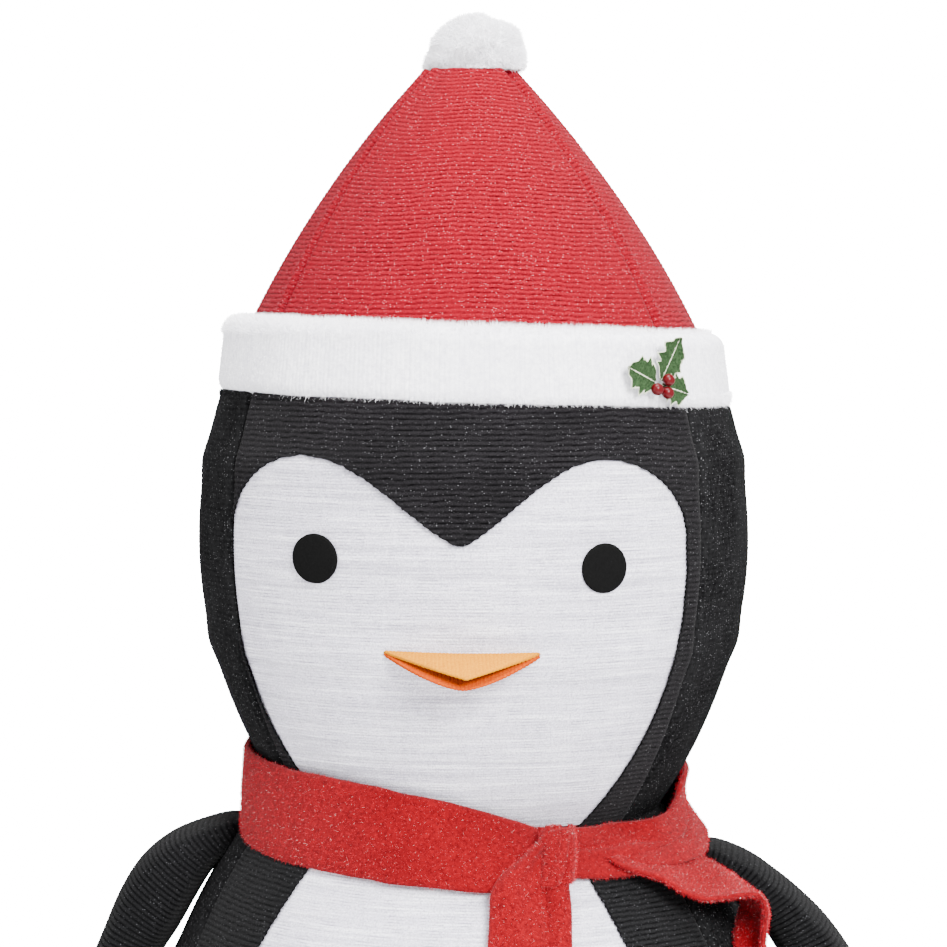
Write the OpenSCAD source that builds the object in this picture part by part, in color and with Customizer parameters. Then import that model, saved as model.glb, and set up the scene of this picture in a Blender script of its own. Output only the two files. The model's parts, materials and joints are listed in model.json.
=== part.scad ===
// Free-standing penguin figure: fabric panels stretched over a welded wire cage that
// stands on a steel mast and base. Millimetres, +Z up, front towards -Y, origin on the
// floor under the mast.

/* [Torso] */
// Height of the torso's lower edge above the floor
torso_bottom_z = 20; // [20:1:30]
// Height of the torso's upper edge
torso_top_z = 640; // [630:1:644]
// Largest radius of the torso
torso_r = 250; // [240:1:260]
// Height at which the torso is widest
torso_wide_z = 349; // [330:1:370]
// Radius of the torso's side profile
torso_bow = 483; // [475:1:521]
// Angle from the front to the seams of the torso's front panel
torso_seam = 62; // [60:1:70]
// Turn of the torso on the mast, towards -X
torso_yaw = 4.5; // [0:0.5:8]

/* [Head] */
// Height of the head's lower edge
head_bottom_z = 645; // [645:1:650]
// Height of the head's upper edge, under the brim
head_top_z = 927; // [920:1:935]
// Largest radius of the head
head_r = 190; // [186:1:194]
// Height at which the head is widest
head_wide_z = 841; // [830:1:850]
// Radius of the head's side profile
head_bow = 340; // [330:1:360]
// Angle from the front to the seams of the head and the hat
head_seam = 56; // [54:1:62]

/* [Hat] */
// Height of the brim band
brim_h = 62; // [55:1:66]
// Outer radius of the brim band
brim_r = 178; // [172:1:182]
// Corner radius of the brim band's section
brim_corner = 9; // [4:1:12]
// Radius of the hat's cone at the brim
hat_r = 149; // [145:1:152]
// Radius of the hat's flat top
hat_top_r = 31; // [25:1:36]
// Height of the hat's cone above the brim
hat_h = 168; // [150:1:180]
// How far the side of the cone bows outwards
hat_bow = 7.4; // [3:0.1:10]
// Radius of the pompom
pompom_r = 37.5; // [32:0.5:42]

/* [Fabric] */
// Thickness of the stretched fabric
skin_t = 1.5; // [1:0.1:2]
// Clearance between two layers of fabric, and between fabric and wire
layer_gap = 0.4; // [0.3:0.1:0.6]

/* [Wire cage] */
// Diameter of the hoop wire
hoop_d = 4; // [3:0.5:5]
// Diameter of the rib wire
rib_d = 3.2; // [2.6:0.2:4]
// Number of ribs in each cage
rib_count = 8; // [6:1:10]
// How deep a weld sinks one wire into the next
weld = 0.4; // [0.2:0.1:0.6]

/* [Mast and base] */
// Outer diameter of the mast
mast_d = 16; // [14:1:20]
// Wall of the mast
mast_wall = 1.2; // [1:0.1:2]
// Height of the joint between the two mast tubes
mast_joint_z = 580; // [500:1:585]
// Height of the top of the mast
mast_top_z = 1140; // [1120:1:1145]
// Radius of the base ring
base_r = 108; // [100:1:112]
// Width of the base's cross bars
bar_w = 20; // [16:1:25]
// Thickness of the base's cross bars and foot straps
bar_t = 4; // [3:0.5:5]
// Height of the rubber pads
pad_h = 6; // [5:0.5:8]

/* [Face] */
// Diameter of an eye
eye_d = 32; // [28:1:36]
// Height of the eyes
eye_z = 829; // [820:1:838]
// Angle from the front to each eye
eye_angle = 29.3; // [26:0.1:32]
// Half width of the beak
beak_half_w = 50; // [42:1:52]
// Height of the beak's sewn line
beak_z = 771; // [765:1:780]
// Distance from the mast axis to the tip of the beak
beak_tip = 213; // [205:1:218]
// Thickness of the beak's felt
felt_t = 3; // [2:0.5:4]

/* [Scarf] */
// Height of the band round the neck
scarf_h = 56; // [50:1:60]
// Height of the band's centre
scarf_z = 658.5; // [655:0.5:662]
// Thickness of a scarf tail
tail_t = 8; // [6:0.5:8]
// Width of the front tail
tail_w = 60; // [50:1:64]
// Angle from the front to the front tail
tail_angle = 14; // [10:1:18]
// Height of the front tail's lower end
tail_end_z = 425; // [400:5:480]
// Angle from the front to the knot
knot_angle = 21; // [18:1:24]

/* [Flippers and feet] */
// Half depth of a flipper, front to back
flipper_half_depth = 48; // [40:1:48]
// Height of a flipper's hinge seam
flipper_pivot_z = 621; // [620:1:624]
// How much higher the left flipper is sewn on
left_flipper_rise = 8; // [0:1:8]
// Height of a foot
foot_h = 48; // [40:1:55]

/* [Hidden] */

$fn = 96;
reach = 500;                               // larger than the figure's radius
big = 2 * reach;
layer_step = skin_t + layer_gap;           // from one fabric layer to the next

// Side profiles as arcs: [centre radius, centre height, arc radius]
TORSO = [torso_r - torso_bow, torso_wide_z, torso_bow];
HEAD = [head_r - head_bow, head_wide_z, head_bow];

brim_top_z = head_top_z + 0.5 + brim_h;
hat_top_z = brim_top_z + hat_h;
hat_chord = norm([hat_r - hat_top_r, hat_h]);
hat_arc_r = (hat_chord * hat_chord / 4 + hat_bow * hat_bow) / (2 * hat_bow);
HAT = [
    (hat_r + hat_top_r) / 2 - (hat_arc_r - hat_bow) * hat_h / hat_chord,
    brim_top_z + hat_h / 2 - (hat_arc_r - hat_bow) * (hat_r - hat_top_r) / hat_chord,
    hat_arc_r
];

// Radius of a profile at a height, set in from the outer face by a depth
function profile_r(arc, z, depth = 0) =
    arc[0] + sqrt(pow(arc[2] - depth, 2) - pow(z - arc[1], 2));
// Angle along a profile's arc at a height
function profile_angle(arc, z, depth = 0) = asin((z - arc[1]) / (arc[2] - depth));

hoop_depth = 2 * layer_step + hoop_d / 2;                 // behind two layers
rib_depth = hoop_depth + hoop_d / 2 + rib_d / 2 - weld;   // welded inside the hoops

// Hoop heights
torso_hoop_z = [torso_bottom_z + 4, 150, torso_wide_z, 530];
shoulder_hoop_z = torso_top_z - 6;
neck_hoop_z = head_bottom_z + 6;
head_hoop_z = [765, 891];
brim_hoop_z = head_top_z - 3;
hat_hoop_z = [brim_top_z + 5, brim_top_z + 82, hat_top_z - 4];

// ---- Shared shapes ------------------------------------------------------------------

// Part of a turned shape between two angles, measured from the front towards +X
module sector(from, to) {
    rotate([0, 0, from - 90]) rotate_extrude(angle = to - from) children();
}

// Section of one fabric layer along a profile between two heights
module layer_section(arc, depth, low, high, thick = skin_t) {
    intersection() {
        translate([arc[0], arc[1]]) difference() {
            circle(r = arc[2] - depth);
            circle(r = arc[2] - depth - thick);
        }
        translate([0, low]) square([reach, high - low]);
    }
}

// Everything inside a profile between two heights, grown outwards by a margin
module core(arc, low, high, margin) {
    rotate_extrude() intersection() {
        translate([arc[0], arc[1]]) circle(r = arc[2] + margin);
        translate([0, low]) square([reach, high - low]);
    }
}

module head_core(margin) core(HEAD, head_bottom_z - 3, head_top_z, margin);
module torso_core(margin) core(TORSO, torso_bottom_z, torso_top_z + 2, margin);

// Wire hoop inside a profile
module hoop(arc, z) {
    translate([0, 0, z]) ring(profile_r(arc, z, hoop_depth), hoop_d);
}

module ring(r, d) {
    rotate_extrude() translate([r, 0]) circle(d = d, $fn = 24);
}

// Wire ribs that follow a profile between two heights
module ribs(arc, low, high) {
    start = profile_angle(arc, low, rib_depth);
    end = profile_angle(arc, high, rib_depth);
    for (i = [0:rib_count - 1])
        rotate([0, 0, (i + 0.5) * 360 / rib_count])
            translate([arc[0], 0, arc[1]])
                rotate([90, 0, 0])
                    rotate([0, 0, start])
                        rotate_extrude(angle = end - start)
                            translate([arc[2] - rib_depth, 0])
                                circle(d = rib_d, $fn = 24);
}

// Hub on the mast with four spokes welded to a hoop
module spoke_cross(z, hoop_r) {
    hub_r = mast_d / 2 + 5;
    translate([0, 0, z - 12]) difference() {
        cylinder(r = hub_r, h = 24);
        translate([0, 0, -1]) cylinder(r = mast_d / 2 + 0.1, h = 26);
    }
    for (a = [0:90:270])
        rotate([0, 0, a]) translate([hub_r - weld, 0, z]) rotate([0, 90, 0])
            cylinder(d = hoop_d, h = hoop_r - hub_r - hoop_d / 2 + 2 * weld, $fn = 24);
}

// Solid swept along -Y from a shape drawn in the front view (x, z)
module front_view(from, depth) {
    translate([0, -from, 0]) rotate([90, 0, 0]) linear_extrude(height = depth) children();
}

// ---- Mast and base ------------------------------------------------------------------

bar_z = pad_h;
ring_z = bar_z + bar_t + hoop_d - weld;
base_wire_d = 2 * hoop_d;
socket_top_z = 90;
socket_r = mast_d / 2 + 4;
plate_r = 40;
pad_r = 14;
coupler_half = 35;
screw_d = 5;
knob_d = 16;

module base_pads() {
    color("#202022") for (a = [0:90:270])
        rotate([0, 0, a]) translate([base_r, 0, 0]) cylinder(r = pad_r, h = pad_h);
}

module base_cross_bars() {
    length = 2 * (base_r + pad_r);
    color("#5a5c60") translate([0, 0, bar_z]) difference() {
        union() {
            translate([-length / 2, -bar_w / 2, 0]) cube([length, bar_w, bar_t]);
            translate([-bar_w / 2, -length / 2, 0]) cube([bar_w, length, bar_t]);
        }
        translate([0, 0, -1]) cylinder(r = socket_r + 0.1, h = bar_t + 2);
    }
}

module base_ring() {
    color("#5a5c60") translate([0, 0, ring_z]) ring(base_r, base_wire_d);
}

module mast_socket() {
    color("#5a5c60") difference() {
        union() {
            cylinder(r = plate_r, h = pad_h);
            cylinder(r = socket_r, h = socket_top_z);
        }
        translate([0, 0, pad_h]) cylinder(r = mast_d / 2 + 0.1, h = socket_top_z);
        screw_hole(socket_top_z - 20);
    }
}

module screw_hole(z) {
    translate([0, 0, z]) rotate([0, 90, 0]) cylinder(d = screw_d + 0.2, h = 3 * mast_d, $fn = 32);
}

module mast_tube(low, high) {
    translate([0, 0, low]) difference() {
        cylinder(d = mast_d, h = high - low);
        translate([0, 0, -1]) cylinder(d = mast_d - 2 * mast_wall, h = high - low + 2);
    }
}

module mast_lower_tube() color("#8d9095") mast_tube(pad_h, mast_joint_z);
module mast_upper_tube() color("#8d9095") mast_tube(mast_joint_z, mast_top_z);

module mast_coupler() {
    color("#5a5c60") translate([0, 0, mast_joint_z - coupler_half]) difference() {
        cylinder(r = socket_r, h = 2 * coupler_half);
        translate([0, 0, -1]) cylinder(r = mast_d / 2 + 0.1, h = 2 * coupler_half + 2);
        screw_hole(coupler_half / 2);
        screw_hole(coupler_half * 1.5);
    }
}

// Thumb screws that clamp the mast in its socket and in the coupler
module mast_screws() {
    heights = [socket_top_z - 20, mast_joint_z - coupler_half / 2, mast_joint_z + coupler_half / 2];
    color("#303134") for (z = heights) translate([mast_d / 2 + 0.3, 0, z]) rotate([0, 90, 0]) {
        cylinder(d = screw_d, h = 12, $fn = 32);
        translate([0, 0, 11]) cylinder(d = knob_d, h = 8);
    }
}

module mast_top_cap() {
    color("#202022") translate([0, 0, mast_top_z]) {
        cylinder(d = mast_d + 2, h = 5);
        translate([0, 0, -12]) cylinder(d = mast_d - 2 * mast_wall - 0.2, h = 12);
    }
}

// ---- Wire cages ---------------------------------------------------------------------

wire_colour = "#2c2d30";

module torso_hoop_bottom() color(wire_colour) hoop(TORSO, torso_hoop_z[0]);
module torso_hoop_low() color(wire_colour) hoop(TORSO, torso_hoop_z[1]);
module torso_hoop_mid() color(wire_colour) hoop(TORSO, torso_hoop_z[2]);
module torso_hoop_high() color(wire_colour) hoop(TORSO, torso_hoop_z[3]);
module shoulder_hoop() color(wire_colour) hoop(TORSO, shoulder_hoop_z);
module torso_ribs() color(wire_colour) ribs(TORSO, torso_hoop_z[0], shoulder_hoop_z);

module shoulder_cross() {
    color(wire_colour) spoke_cross(shoulder_hoop_z + 1, profile_r(TORSO, shoulder_hoop_z, hoop_depth));
}

module neck_hoop() color(wire_colour) hoop(HEAD, neck_hoop_z);
module head_hoop_low() color(wire_colour) hoop(HEAD, head_hoop_z[0]);
module head_hoop_high() color(wire_colour) hoop(HEAD, head_hoop_z[1]);
module head_ribs() color(wire_colour) ribs(HEAD, neck_hoop_z, brim_hoop_z);

// Cross at the top of the head cage, with the hoop that the brim stands on
module brim_cross() {
    r = profile_r(HEAD, brim_hoop_z, hoop_depth);
    color(wire_colour) {
        translate([0, 0, brim_hoop_z]) ring(r, hoop_d);
        spoke_cross(brim_hoop_z, r);
    }
}

module hat_hoop_bottom() color(wire_colour) hoop(HAT, hat_hoop_z[0]);
module hat_hoop_mid() color(wire_colour) hoop(HAT, hat_hoop_z[1]);
module hat_top_ring() color(wire_colour) hoop(HAT, hat_hoop_z[2]);
module hat_ribs() color(wire_colour) ribs(HAT, hat_hoop_z[0], hat_hoop_z[2]);

// ---- Torso fabric -------------------------------------------------------------------

// White belly in the front view: two arcs that lean together above and below
belly_half_w = 185;
belly_wide_z = 330;
belly_bow = 509;

module belly_outline() {
    intersection() {
        translate([belly_half_w - belly_bow, belly_wide_z]) circle(r = belly_bow, $fn = 180);
        translate([belly_bow - belly_half_w, belly_wide_z]) circle(r = belly_bow, $fn = 180);
        translate([-reach, torso_bottom_z + 25]) square([big, torso_top_z]);
    }
}

module torso_front_overlay() {
    color("#262628") rotate([0, 0, -torso_yaw]) difference() {
        sector(-torso_seam, torso_seam) layer_section(TORSO, 0, torso_bottom_z, torso_top_z);
        front_view(0, reach) belly_outline();
    }
}

module belly_panel() {
    color("#e4e2e8") rotate([0, 0, -torso_yaw]) sector(-torso_seam + 3, torso_seam - 3)
        layer_section(TORSO, layer_step, torso_bottom_z + 4, torso_top_z - 4);
}

module torso_gore(from, to) {
    color("#242426") rotate([0, 0, -torso_yaw]) sector(from, to)
        layer_section(TORSO, 0, torso_bottom_z, torso_top_z);
}

module torso_right_side() torso_gore(torso_seam, 120);
module torso_back() torso_gore(120, 240);
module torso_left_side() torso_gore(240, 360 - torso_seam);

module torso_bottom_panel() {
    color("#242426") translate([0, 0, torso_bottom_z - skin_t]) difference() {
        cylinder(r = profile_r(TORSO, torso_bottom_z), h = skin_t - 0.1);
        translate([0, 0, -1]) cylinder(r = socket_r + 0.3, h = skin_t + 2);
    }
}

// Ring of fabric that closes the torso round the neck
module shoulder_yoke() {
    color("#242426") translate([0, 0, torso_top_z + 0.1]) difference() {
        cylinder(r = profile_r(TORSO, torso_top_z), h = skin_t);
        translate([0, 0, -1]) cylinder(r = profile_r(HEAD, head_bottom_z) - 6, h = skin_t + 2);
    }
}

// ---- Head fabric --------------------------------------------------------------------

// White face in the front view: a round lobe over each eye and cheeks that draw in
lobe_r = 55.5;
lobe_x = 96;
lobe_z = 843;
notch_z = 845;
cheek_r = 255;
cheek_z = 825;

module half_face_outline() {
    union() {
        translate([lobe_x, lobe_z]) circle(r = lobe_r);
        polygon([
            [0, lobe_z - 20], [0, notch_z], [lobe_x - 34, lobe_z + 44],
            [lobe_x, lobe_z], [lobe_x, lobe_z - 20]
        ]);
        intersection() {
            translate([lobe_x + lobe_r - cheek_r, cheek_z]) circle(r = cheek_r, $fn = 180);
            translate([0, head_bottom_z + 4]) square([reach, lobe_z - head_bottom_z - 4]);
        }
    }
}

module face_outline() {
    half_face_outline();
    mirror([1, 0]) half_face_outline();
}

module head_front_overlay() {
    color("#262628") difference() {
        sector(-head_seam, head_seam) layer_section(HEAD, 0, head_bottom_z, head_top_z);
        front_view(0, reach) face_outline();
    }
}

module face_panel() {
    color("#e4e2e8") sector(-head_seam + 1, head_seam - 1)
        layer_section(HEAD, layer_step, head_bottom_z + 2, head_top_z - 6);
}

module head_gore(from, to) {
    color("#242426") sector(from, to) layer_section(HEAD, 0, head_bottom_z, head_top_z);
}

module head_right_side() head_gore(head_seam, 180 - head_seam);
module head_back() head_gore(180 - head_seam, 180 + head_seam);
module head_left_side() head_gore(180 + head_seam, 360 - head_seam);

// A place on the head's outer face, at an angle from the front and a height
module on_head(angle, z, r) {
    rotate([0, 0, angle]) translate([0, -r, z]) rotate([90, 0, 0]) children();
}

eye_t = 2.5;
eye_r = profile_r(HEAD, eye_z, layer_step) + 0.3;

module eye(side) color("#202021") on_head(side * eye_angle, eye_z, eye_r) cylinder(d = eye_d, h = eye_t);
module eye_left() eye(-1);
module eye_right() eye(1);

// Folded felt diamond: two pointed flaps from one sewn line
module beak() {
    root = profile_r(HEAD, beak_z) - 13;
    color("#f59a52") difference() {
        hull() {
            for (side = [-1, 1]) translate([side * beak_half_w, -root, beak_z])
                sphere(d = felt_t, $fn = 16);
            translate([0, -root, beak_z]) sphere(d = felt_t, $fn = 16);
            translate([0, -beak_tip + felt_t / 2, beak_z - 12]) sphere(d = felt_t, $fn = 16);
            translate([0, -beak_tip + 6, beak_z - 19]) sphere(d = felt_t, $fn = 16);
        }
        core(HEAD, head_bottom_z, head_top_z, -layer_step + 0.3);
    }
}

// ---- Hat ----------------------------------------------------------------------------

module hat_gore(from, to) {
    color("#d62d3c") sector(from, to)
        layer_section(HAT, 0, brim_top_z + 0.1, hat_top_z);
}

module hat_front_panel() hat_gore(-head_seam, head_seam);
module hat_right_panel() hat_gore(head_seam, 180 - head_seam);
module hat_back_panel() hat_gore(180 - head_seam, 180 + head_seam);
module hat_left_panel() hat_gore(180 + head_seam, 360 - head_seam);

module hat_top_disc() {
    color("#d62d3c") translate([0, 0, hat_top_z + 0.1]) cylinder(r = hat_top_r, h = skin_t);
}

// Stuffed plush ring, rounded outside
module brim_band() {
    inner = hat_r + 1;
    color("#eceaf0") translate([0, 0, head_top_z + 0.5]) rotate_extrude() union() {
        translate([inner, 0]) square([brim_r - brim_corner - inner, brim_h]);
        translate([inner, brim_corner]) square([brim_r - inner, brim_h - 2 * brim_corner]);
        for (z = [brim_corner, brim_h - brim_corner])
            translate([brim_r - brim_corner, z]) circle(r = brim_corner, $fn = 48);
    }
}

module pompom() {
    base_z = hat_top_z + skin_t + 0.2;
    color("#eceaf0") intersection() {
        translate([0, 0, base_z + 3]) sphere(r = pompom_r);
        translate([-reach, -reach, base_z]) cube([big, big, big]);
    }
}

holly_angle = 46;
holly_z = 952;
leaf_t = 2.5;

// Half of a leaf's outline from stem to tip, as shares of its length and width
LEAF = [
    [0, 0.05], [0.16, 0.34], [0.3, 0.22], [0.46, 0.5], [0.58, 0.28], [0.74, 0.42],
    [0.82, 0.18], [1, 0.02]
];
stem_gap = 4;

// One spiny leaf, pointing along +X from its stem
module leaf(length, width) {
    last = len(LEAF) - 1;
    translate([stem_gap, 0, 0]) linear_extrude(height = leaf_t) polygon(concat(
        [for (p = LEAF) [p[0] * length, p[1] * width]],
        [for (i = [last:-1:0]) [LEAF[i][0] * length, -LEAF[i][1] * width]]
    ));
}

module holly_leaves() {
    color("#5f8f5f") rotate([0, 0, holly_angle]) translate([0, -brim_r - 0.4, holly_z])
        rotate([90, 0, 0]) {
            rotate([0, 0, 172]) leaf(27, 20);
            rotate([0, 0, 72]) leaf(24, 18);
            rotate([0, 0, -34]) leaf(25, 18);
        }
}

module holly_berries() {
    places = [[3, -1.5], [-6, -7], [2.5, -10]];
    color("#ae1e2c") rotate([0, 0, holly_angle]) for (p = places)
        translate([p[0], -brim_r - leaf_t - 4.6, holly_z + p[1]]) sphere(d = 8, $fn = 32);
}

// ---- Scarf --------------------------------------------------------------------------

scarf_lean = [-4.2, -1, 0];     // lower in front and on the right

// Outer limit of the band: round the neck, flaring over the shoulders
module scarf_envelope(margin = 0) {
    rotate_extrude() polygon([
        [0, 590], [190 + margin, 590], [186 + margin, 600], [180 + margin, 612],
        [168 + margin, 632], [160 + margin, 645], [157 + margin, 700], [0, 700]
    ]);
}

module scarf_band() {
    color("#d42a34") difference() {
        intersection() {
            translate([0, 0, scarf_z]) rotate(-scarf_lean) cylinder(r = reach, h = scarf_h, center = true);
            scarf_envelope();
        }
        torso_core(0.5);
        head_core(0.5);
        translate([0, 0, torso_top_z]) cylinder(r = profile_r(TORSO, torso_top_z) + 0.3, h = skin_t + 0.4);
    }
}

knot_w = 60;
knot_h = 52;
knot_z = 637;
knot_depth = 22;

module scarf_knot() {
    r = profile_r(TORSO, knot_z);
    corner = 10;
    color("#d42a34") difference() {
        rotate([0, 0, knot_angle]) translate([0, -r - 1, knot_z]) rotate([90, 0, 0]) hull()
            for (x = [-1, 1], z = [-1, 1])
                translate([x * (knot_w / 2 - corner), z * (knot_h / 2 - corner), 0]) {
                    cylinder(r = corner, h = knot_depth - corner, $fn = 32);
                    translate([0, 0, knot_depth - corner]) sphere(r = corner, $fn = 32);
                }
        scarf_envelope(0.5);
        torso_core(1);
    }
}

tail_gap = 1.5;                          // clearance to the belly
front_tail_top_z = 606;

module scarf_front_tail() {
    color("#d42a34") intersection() {
        rotate_extrude() layer_section(TORSO, -tail_gap - tail_t, tail_end_z, front_tail_top_z, tail_t);
        rotate([0, 0, tail_angle]) translate([-tail_w / 2, -reach, 0]) cube([tail_w, reach, big]);
    }
}

// Edges of the side tail from its root to its end: [rear edge, front edge]
SIDE_TAIL = [
    [[169, -66, 616.5], [119, -137, 613.5]],
    [[184, -68, 607], [150, -124, 603]],
    [[202, -64, 600], [198, -116, 599]],
    [[208, -62, 570], [204, -112, 568]],
    [[224, -64, 505], [208, -112, 505]]
];

module scarf_side_tail() {
    color("#d42a34") for (i = [0:len(SIDE_TAIL) - 2]) hull()
        for (station = [SIDE_TAIL[i], SIDE_TAIL[i + 1]]) for (p = station)
            translate(p) sphere(d = tail_t, $fn = 16);
}

// ---- Flippers and feet --------------------------------------------------------------

// Front view of the right flipper, with heights from its hinge seam: outer edge down to
// the tip, inner edge back up
FLIPPER_FRONT = [
    [168, 2], [182, 0], [196, -5], [214, -15], [232, -29], [246, -45], [258, -64],
    [270, -90], [283, -130], [293, -172], [300, -212], [301, -240], [297, -258], [288, -268],
    [278, -268], [271, -256], [262, -226], [252, -182], [238, -130], [222, -88], [204, -56],
    [184, -22], [170, -4]
];
// Side view of a flipper: share of its half depth at each height from the seam
FLIPPER_SIDE = [
    [0, 3], [0.7, 2], [0.85, -22], [1, -62], [1, -142], [0.92, -202], [0.74, -242],
    [0.5, -262], [0.2, -270], [0, -271]
];

module flipper() {
    color("#262628") translate([0, 0, flipper_pivot_z]) intersection() {
        front_view(-flipper_half_depth, 2 * flipper_half_depth) polygon(FLIPPER_FRONT);
        rotate([90, 0, 90]) linear_extrude(height = reach) polygon(concat(
            [for (p = FLIPPER_SIDE) [p[0] * flipper_half_depth, p[1]]],
            [for (i = [len(FLIPPER_SIDE) - 2:-1:1])
                [-FLIPPER_SIDE[i][0] * flipper_half_depth, FLIPPER_SIDE[i][1]]]
        ));
    }
}

module flipper_right() flipper();
module flipper_left() translate([0, 0, left_flipper_rise]) mirror([1, 0, 0]) flipper();

foot_x = 78;
toe_y = 232;
heel_y = 150;
strap_y = 205;                           // front end of the foot straps

// Webbed foot with three toes and a flat sole, slotted for its strap
module foot(side) {
    toe_r = 24;
    color("#f08a3c") difference() {
        intersection() {
            hull() {
                for (x = [-40, 0, 40]) translate([side * foot_x + x, -toe_y - (x == 0 ? 8 : 0), toe_r - 6])
                    sphere(r = toe_r, $fn = 32);
                translate([side * (foot_x - 10), -heel_y, foot_h - 30]) sphere(r = 30, $fn = 32);
            }
            translate([-reach, -reach, 0]) cube([big, big, foot_h]);
        }
        torso_core(1.5);
        foot_strap(side, 0.3);
    }
}

module foot_left() foot(-1);
module foot_right() foot(1);

// Flat strap from the base ring into a foot
module foot_strap(side, margin = 0) {
    translate([side * foot_x - bar_w / 2 - margin, -strap_y - margin, bar_z - margin])
        cube([bar_w + 2 * margin, strap_y - 74 + margin, bar_t + 2 * margin]);
}

module foot_straps() {
    color("#5a5c60") for (side = [-1, 1]) foot_strap(side);
}

// ---- Nodes --------------------------------------------------------------------------

base_pads();
base_cross_bars();
base_ring();
mast_socket();
mast_lower_tube();
mast_coupler();
mast_upper_tube();
mast_screws();
mast_top_cap();
torso_hoop_bottom();
torso_hoop_low();
torso_hoop_mid();
torso_hoop_high();
shoulder_hoop();
torso_ribs();
shoulder_cross();
neck_hoop();
head_hoop_low();
head_hoop_high();
head_ribs();
brim_cross();
hat_hoop_bottom();
hat_hoop_mid();
hat_top_ring();
hat_ribs();
torso_front_overlay();
belly_panel();
torso_left_side();
torso_right_side();
torso_back();
torso_bottom_panel();
shoulder_yoke();
head_front_overlay();
face_panel();
head_left_side();
head_right_side();
head_back();
hat_front_panel();
hat_left_panel();
hat_right_panel();
hat_back_panel();
hat_top_disc();
brim_band();
pompom();
eye_left();
eye_right();
beak();
holly_leaves();
holly_berries();
scarf_band();
scarf_knot();
scarf_front_tail();
scarf_side_tail();
flipper_left();
flipper_right();
foot_left();
foot_right();
foot_straps();
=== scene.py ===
"""Fabric penguin display figure: cloth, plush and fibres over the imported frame.

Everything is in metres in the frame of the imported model: +Z up, front towards -Y, origin
on the floor under the mast.
"""
import json
import math

import bmesh
import bpy
import numpy as np
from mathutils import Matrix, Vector


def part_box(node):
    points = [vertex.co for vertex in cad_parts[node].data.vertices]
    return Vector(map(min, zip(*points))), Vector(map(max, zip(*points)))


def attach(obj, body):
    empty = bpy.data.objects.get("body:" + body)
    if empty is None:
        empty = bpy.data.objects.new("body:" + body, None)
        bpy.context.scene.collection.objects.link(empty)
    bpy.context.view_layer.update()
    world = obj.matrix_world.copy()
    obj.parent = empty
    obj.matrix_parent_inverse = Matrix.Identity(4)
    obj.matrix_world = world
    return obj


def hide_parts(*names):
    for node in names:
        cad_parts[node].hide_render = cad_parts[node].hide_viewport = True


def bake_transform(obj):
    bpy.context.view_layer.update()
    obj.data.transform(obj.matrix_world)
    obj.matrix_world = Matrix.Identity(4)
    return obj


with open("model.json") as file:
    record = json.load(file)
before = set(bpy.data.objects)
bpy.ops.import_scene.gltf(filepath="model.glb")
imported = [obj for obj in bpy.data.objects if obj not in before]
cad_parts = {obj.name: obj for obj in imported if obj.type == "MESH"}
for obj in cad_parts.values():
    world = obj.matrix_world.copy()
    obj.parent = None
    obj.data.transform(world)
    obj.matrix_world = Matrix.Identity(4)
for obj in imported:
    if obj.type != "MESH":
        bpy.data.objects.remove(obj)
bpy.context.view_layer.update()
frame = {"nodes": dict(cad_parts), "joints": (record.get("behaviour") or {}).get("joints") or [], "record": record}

MM = 0.001
FIGURE = "figure"

# ---- Driving dimensions, most of them read from the frame ----------------------------

TORSO_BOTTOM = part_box("torso_back")[0][2]
TORSO_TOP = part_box("torso_back")[1][2]
TORSO_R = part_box("torso_back")[1][1]
TORSO_BOW = 483 * MM
TORSO_WIDE = 349 * MM
TORSO_SEAM = math.radians(62)
TORSO_YAW = math.radians(-4.5)
HEAD_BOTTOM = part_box("head_back")[0][2]
HEAD_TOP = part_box("head_back")[1][2]
HEAD_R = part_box("head_back")[1][1]
HEAD_BOW = 340 * MM
HEAD_WIDE = 841 * MM
HEAD_SEAM = math.radians(56)
BRIM_BOTTOM, BRIM_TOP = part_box("brim_band")[0][2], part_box("brim_band")[1][2]
BRIM_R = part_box("brim_band")[1][0]
HAT_R = 149 * MM
HAT_TOP_R = 31 * MM
HAT_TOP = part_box("hat_back_panel")[1][2]
HAT_BOW = 7.4 * MM
LAYER = 1.9 * MM                 # from one layer of cloth to the next
HEM = 1.3 * MM                   # how far a cut edge turns in
RIB_PITCH = 3.6 * MM             # black and red cloth
FINE_PITCH = 2.1 * MM            # white cloth
HEAD_HOOPS = (765 * MM, 891 * MM)
TORSO_HOOPS = (150 * MM, 349 * MM, 530 * MM)
BRIM_TILT = -0.035               # slope of the brim, which falls towards +X
HAT_TILT = -0.012                # the same for the hat's foot
SHOULDER_TILT = -0.045           # the same at the top of the torso
SHOULDER_FROM = 500 * MM         # height where the torso starts to lean
SHOULDER_RISE = 130 * MM         # height over which the lean grows to its full amount


class Profile:
    """A side profile that is one arc, walked by the angle along it."""

    def __init__(self, centre_r, centre_z, bow):
        self.cr, self.cz, self.bow = centre_r, centre_z, bow

    def angle(self, z):
        return np.arcsin((z - self.cz) / self.bow)

    def radius(self, z):
        return self.cr + np.sqrt(self.bow ** 2 - (z - self.cz) ** 2)


def hat_profile():
    """The bowed side of the hat's cone."""
    rise, run = HAT_TOP - BRIM_TOP, HAT_R - HAT_TOP_R
    chord = math.hypot(rise, run)
    bow = (chord ** 2 / 4 + HAT_BOW ** 2) / (2 * HAT_BOW)
    back = bow - HAT_BOW
    return Profile((HAT_R + HAT_TOP_R) / 2 - back * rise / chord,
                   (BRIM_TOP + HAT_TOP) / 2 - back * run / chord, bow)


TORSO = Profile(TORSO_R - TORSO_BOW, TORSO_WIDE, TORSO_BOW)
HEAD = Profile(HEAD_R - HEAD_BOW, HEAD_WIDE, HEAD_BOW)
HAT = hat_profile()


# ---- Numbers shared by many shapes ---------------------------------------------------

def smooth(t):
    """0 to 1 with flat ends."""
    t = np.clip(t, 0, 1)
    return t * t * (3 - 2 * t)


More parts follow.
